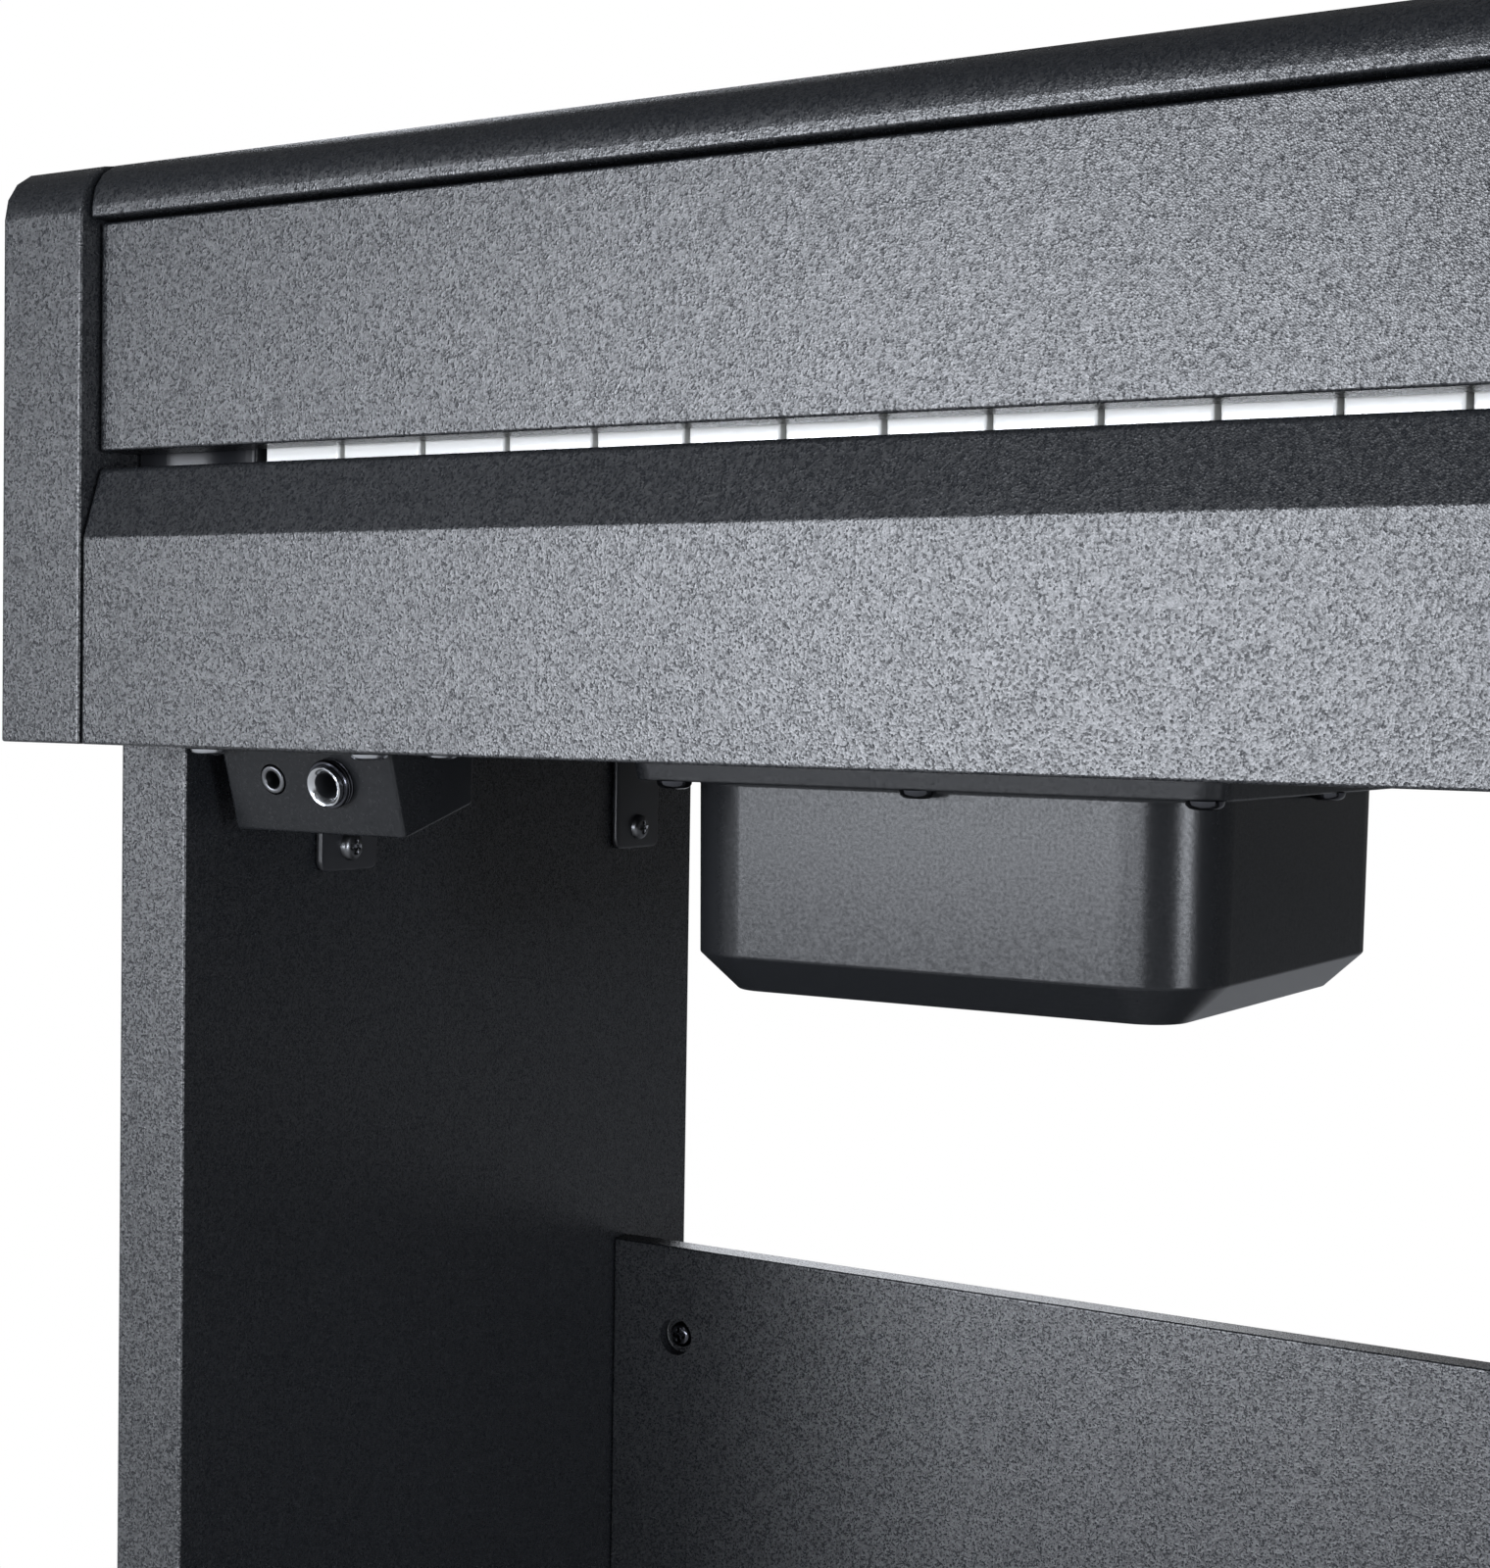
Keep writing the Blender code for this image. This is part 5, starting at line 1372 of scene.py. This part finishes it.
    def foot(self) -> None:
        """Levelling foot: a fluted disc on a threaded stem, whose radius waves with the thread's pitch."""
        low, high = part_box("levelling_foot")
        middle = (low + high) / 2
        radius = (high.x - low.x) / 2
        disc = 8.0 * MM
        shares = [(0.03, 0.0), (0.85, 0.0), (0.95, 0.08), (1.0, 0.25), (1.0, 0.75), (0.95, 0.95), (0.85, 1.0),
                  (0.30, 1.0)]
        profile = np.array(shares) * (radius, disc)
        grip = np.array([0, 0, 0.5, 1, 1, 0.5, 0, 0])[:, None]
        angle = np.linspace(0, 2 * math.pi, self.flutes * 6, endpoint=False)
        reach = profile[:, :1] - grip * 0.6 * MM * (1 - np.cos(self.flutes * angle)) / 2
        height = np.broadcast_to(low.z + profile[:, 1:], reach.shape)
        points = np.stack((middle.x + reach * np.cos(angle), middle.y + reach * np.sin(angle), height), -1)
        thread = np.arange(disc, high.z - low.z, 0.3 * MM)
        stem = np.stack((4.8 * MM + 0.2 * MM * np.cos(thread * 2 * math.pi / (1.5 * MM)), thread), 1)
        form = Form().grid(points)
        form.lathe(stem, Matrix.Translation((middle.x, middle.y, low.z)), 24)
        form.piece("levelling_foot_disc", "levelling_foot", "satin", self.paint, ["levelling_foot"])


@dataclass
class Studio:
    """Pale floor, soft lamps, white surroundings and the camera."""

    eye: tuple[float, float, float] = (-0.199263, -0.594508, 0.6681)
    yaw: float = 0.549307
    pitch: float = -0.036671
    roll: float = 0.015740
    focal_px: float = 2624.175
    height_px: float = 1600.0
    film: float = 36.0
    paper: tuple[float, float, float] = (-0.52, 0.85, 0.0)
    paper_edge: tuple[float, float, float, float] = (0.93, 0.985, 0.12, 1.0)
    ambient: tuple[float, float] = (0.08, 0.68)
    floor_lift: tuple[float, float] = (0.75, 0.30)
    floor_front: tuple[float, float] = (-0.4, 0.5)
    floor_reach: float = 9.0
    floor_fade: tuple[float, float] = (1.1, 1.6)
    cool: tuple[float, float, float] = (0.96, 1.0, 1.08)

    def build(self) -> None:
        """Make everything round the object."""
        scene = bpy.context.scene
        scene.view_settings.view_transform = "Standard"
        self.camera(scene)
        self.surroundings(scene)
        self.floor()
        self.lamp("front_softbox", (-1.80, -3.15, 0.80), (-0.40, -0.16, 0.68), (1.5, 1.1), 113.0)
        self.lamp("low_softbox", (-0.28, -3.25, 0.46), (-0.40, -0.03, 0.64), (1.4, 0.4), 38.0)
        self.lamp("left_softbox", (-3.3, -2.4, 0.70), (-0.60, -0.16, 0.66), (1.2, 1.2), 6.0)
        self.lamp("upper_softbox", (-1.4, -2.9, 2.0), (-0.30, -0.16, 0.68), (2.0, 1.1), 11.0)
        self.lamp("side_strip", (2.2, -1.0, 0.56), (-0.43, -0.03, 0.64), (0.80, 0.6), 46.0)
        self.lamp("top_softbox", (0.3, -0.6, 3.2), (0.0, 0.0, 0.6), (2.0, 1.6), 2.5)
        self.lamp("back_softbox", (-2.6, 3.0, 2.2), (-0.2, 0.1, 0.5), (2.0, 1.4), 40.0)

    def camera(self, scene: bpy.types.Scene) -> None:
        """Camera at the photograph's angle, from its yaw, pitch and roll."""
        sine, cosine = math.sin(self.yaw), math.cos(self.yaw)
        ahead = Vector((-sine * math.cos(self.pitch), cosine * math.cos(self.pitch), math.sin(self.pitch)))
        right = Vector((cosine, sine, 0))
        up = right.cross(ahead)
        across = math.cos(self.roll) * right + math.sin(self.roll) * up
        above = -math.sin(self.roll) * right + math.cos(self.roll) * up
        turn = Matrix((across, above, -ahead)).transposed().to_4x4()
        lens = bpy.data.cameras.new("photo_camera")
        lens.sensor_width = self.film
        lens.lens = self.focal_px * self.film / self.height_px
        lens.clip_start = 0.01
        camera = bpy.data.objects.new("photo_camera", lens)
        camera.matrix_world = Matrix.Translation(self.eye) @ turn
        scene.collection.objects.link(camera)
        scene.camera = camera

    def surroundings(self, scene: bpy.types.Scene) -> None:
        """World: white paper where the camera or glass sees it, and in a reflection of the side behind the piano.

        In other reflections it is the dim studio, and where it only lights it is a soft grey, weaker for
        what is seen in a reflection. The paper's share rises smoothly with the cosine between the
        direction and the paper's middle.
        """
        world = bpy.data.worlds.new("studio")
        scene.world = world
        world.use_nodes = True
        tree = world.node_tree
        tree.nodes.clear()
        rays = put_node(tree, "ShaderNodeLightPath", {}, {})
        seen = put_node(tree, "ShaderNodeMath", {"operation": "MAXIMUM"},
                        {0: rays.outputs["Is Camera Ray"], 1: rays.outputs["Is Transmission Ray"]})
        sky = put_node(tree, "ShaderNodeTexCoord", {}, {}).outputs["Generated"]
        towards = put_node(tree, "ShaderNodeVectorMath", {"operation": "DOT_PRODUCT"}, {0: sky})
        towards.inputs[1].default_value = self.paper
        sheet = put_node(tree, "ShaderNodeMapRange", {"interpolation_type": "SMOOTHSTEP"},
                         {"Value": towards.outputs["Value"]})
        for name, value in zip(("From Min", "From Max", "To Min", "To Max"), self.paper_edge):
            sheet.inputs[name].default_value = value
        white = put_node(tree, "ShaderNodeBackground", {"in:Color": srgb("ffffff"), "in:Strength": 1.0}, {})
        mirror = put_node(tree, "ShaderNodeBackground", {"in:Color": srgb("ffffff")}, {"Strength": sheet.outputs[0]})
        first = put_node(tree, "ShaderNodeMapRange", {}, {"Value": rays.outputs["Glossy Depth"]})
        for name, value in zip(("From Min", "From Max", "To Min", "To Max"), (1.0, 0.0, *self.ambient)):
            first.inputs[name].default_value = value
        grey = put_node(tree, "ShaderNodeBackground", {"in:Color": srgb("f4f6fa")}, {"Strength": first.outputs[0]})
        mix = put_node(tree, "ShaderNodeMixShader", {},
                       {0: rays.outputs["Is Glossy Ray"], 1: grey.outputs[0], 2: mirror.outputs[0]})
        mix = put_node(tree, "ShaderNodeMixShader", {}, {0: seen.outputs[0], 1: mix.outputs[0], 2: white.outputs[0]})
        put_node(tree, "ShaderNodeOutputWorld", {}, {"Surface": mix.outputs[0]})

    def floor(self) -> None:
        """Pale floor that keeps the object's shadow.

        It is lifted where the camera sees it, and less in reflections of the part in front of the object.
        It fades out past the object where the camera sees it.
        """
        reach, grid = self.floor_reach, 3
        line = np.linspace(-reach, reach, grid)
        x, y = np.meshgrid(line, line)
        points = np.stack((x, y, np.full_like(x, -0.0005)), -1)
        index = np.arange(grid * grid).reshape(grid, grid)
        quads = np.stack((index[:-1, :-1], index[:-1, 1:], index[1:, 1:], index[1:, :-1]), -1).reshape(-1, 4)
        mesh = bpy.data.meshes.new("floor")
        mesh.from_pydata(points.reshape(-1, 3).tolist(), [], quads.tolist())
        item = bpy.data.objects.new("floor", mesh)
        bpy.context.scene.collection.objects.link(item)
        paper = bpy.data.materials.new("backdrop_paper")
        paper.use_nodes = True
        tree = paper.node_tree
        tree.nodes.clear()
        rays = put_node(tree, "ShaderNodeLightPath", {}, {})
        place = put_node(tree, "ShaderNodeTexCoord", {}, {}).outputs["Object"]
        split = put_node(tree, "ShaderNodeSeparateXYZ", {}, {0: place})
        front = put_node(tree, "ShaderNodeMapRange", {"interpolation_type": "SMOOTHSTEP"}, {"Value": split.outputs["Y"]})
        limits = (-self.floor_front[0], -self.floor_front[1], 0.0, self.floor_lift[1])
        for name, value in zip(("From Min", "From Max", "To Min", "To Max"), limits):
            front.inputs[name].default_value = value
        mirrored = put_node(tree, "ShaderNodeMath", {"operation": "MULTIPLY"},
                            {0: rays.outputs["Is Glossy Ray"], 1: front.outputs[0]})
        lift = put_node(tree, "ShaderNodeMath", {"operation": "MULTIPLY_ADD"},
                        {0: rays.outputs["Is Camera Ray"], 2: mirrored.outputs[0]})
        lift.inputs[1].default_value = self.floor_lift[0]
        matt = put_node(tree, "ShaderNodeBsdfDiffuse", {"in:Color": srgb("f6f6f6")}, {})
        glow = put_node(tree, "ShaderNodeEmission", {"in:Color": srgb("ffffff"), "in:Strength": 1.0}, {})
        mix = put_node(tree, "ShaderNodeMixShader", {}, {0: lift.outputs[0], 1: matt.outputs[0], 2: glow.outputs[0]})
        away = put_node(tree, "ShaderNodeVectorMath", {"operation": "LENGTH"}, {0: place}).outputs["Value"]
        fade = put_node(tree, "ShaderNodeMapRange", {"interpolation_type": "SMOOTHSTEP"}, {"Value": away})
        fade.inputs["From Min"].default_value, fade.inputs["From Max"].default_value = self.floor_fade
        gone = put_node(tree, "ShaderNodeMath", {"operation": "MULTIPLY"},
                        {0: fade.outputs[0], 1: rays.outputs["Is Camera Ray"]})
        clear = put_node(tree, "ShaderNodeBsdfTransparent", {}, {})
        mix = put_node(tree, "ShaderNodeMixShader", {}, {0: gone.outputs[0], 1: mix.outputs[0], 2: clear.outputs[0]})
        put_node(tree, "ShaderNodeOutputMaterial", {}, {"Surface": mix.outputs[0]})
        mesh.materials.append(paper)

    def lamp(self, name: str, place: Sequence, target: Sequence, size: Sequence, power: float) -> None:
        """Soft rectangular lamp that faces a point."""
        data = bpy.data.lights.new(name, "AREA")
        data.shape = "RECTANGLE"
        data.size, data.size_y = size
        data.energy = power
        data.color = self.cool
        item = bpy.data.objects.new(name, data)
        aim = Vector(target) - Vector(place)
        item.matrix_world = Matrix.Translation(place) @ aim.to_track_quat("-Z", "Y").to_matrix().to_4x4()
        bpy.context.scene.collection.objects.link(item)


def main() -> None:
    """Build the studio and every sub-assembly."""
    logging.basicConfig(level=logging.INFO)
    paint = Paint()
    paint.dress_frame()
    Studio().build()
    Case(paint).build()
    Keyboard(paint).build()
    SpeakerBoxes(paint).build()
    Brackets(paint).build()
    HeadphoneBox(paint).build()
    Controls(paint).build()
    Hinges(paint).build()
    Pedals(paint).build()


if __name__ == "__main__":
    main()
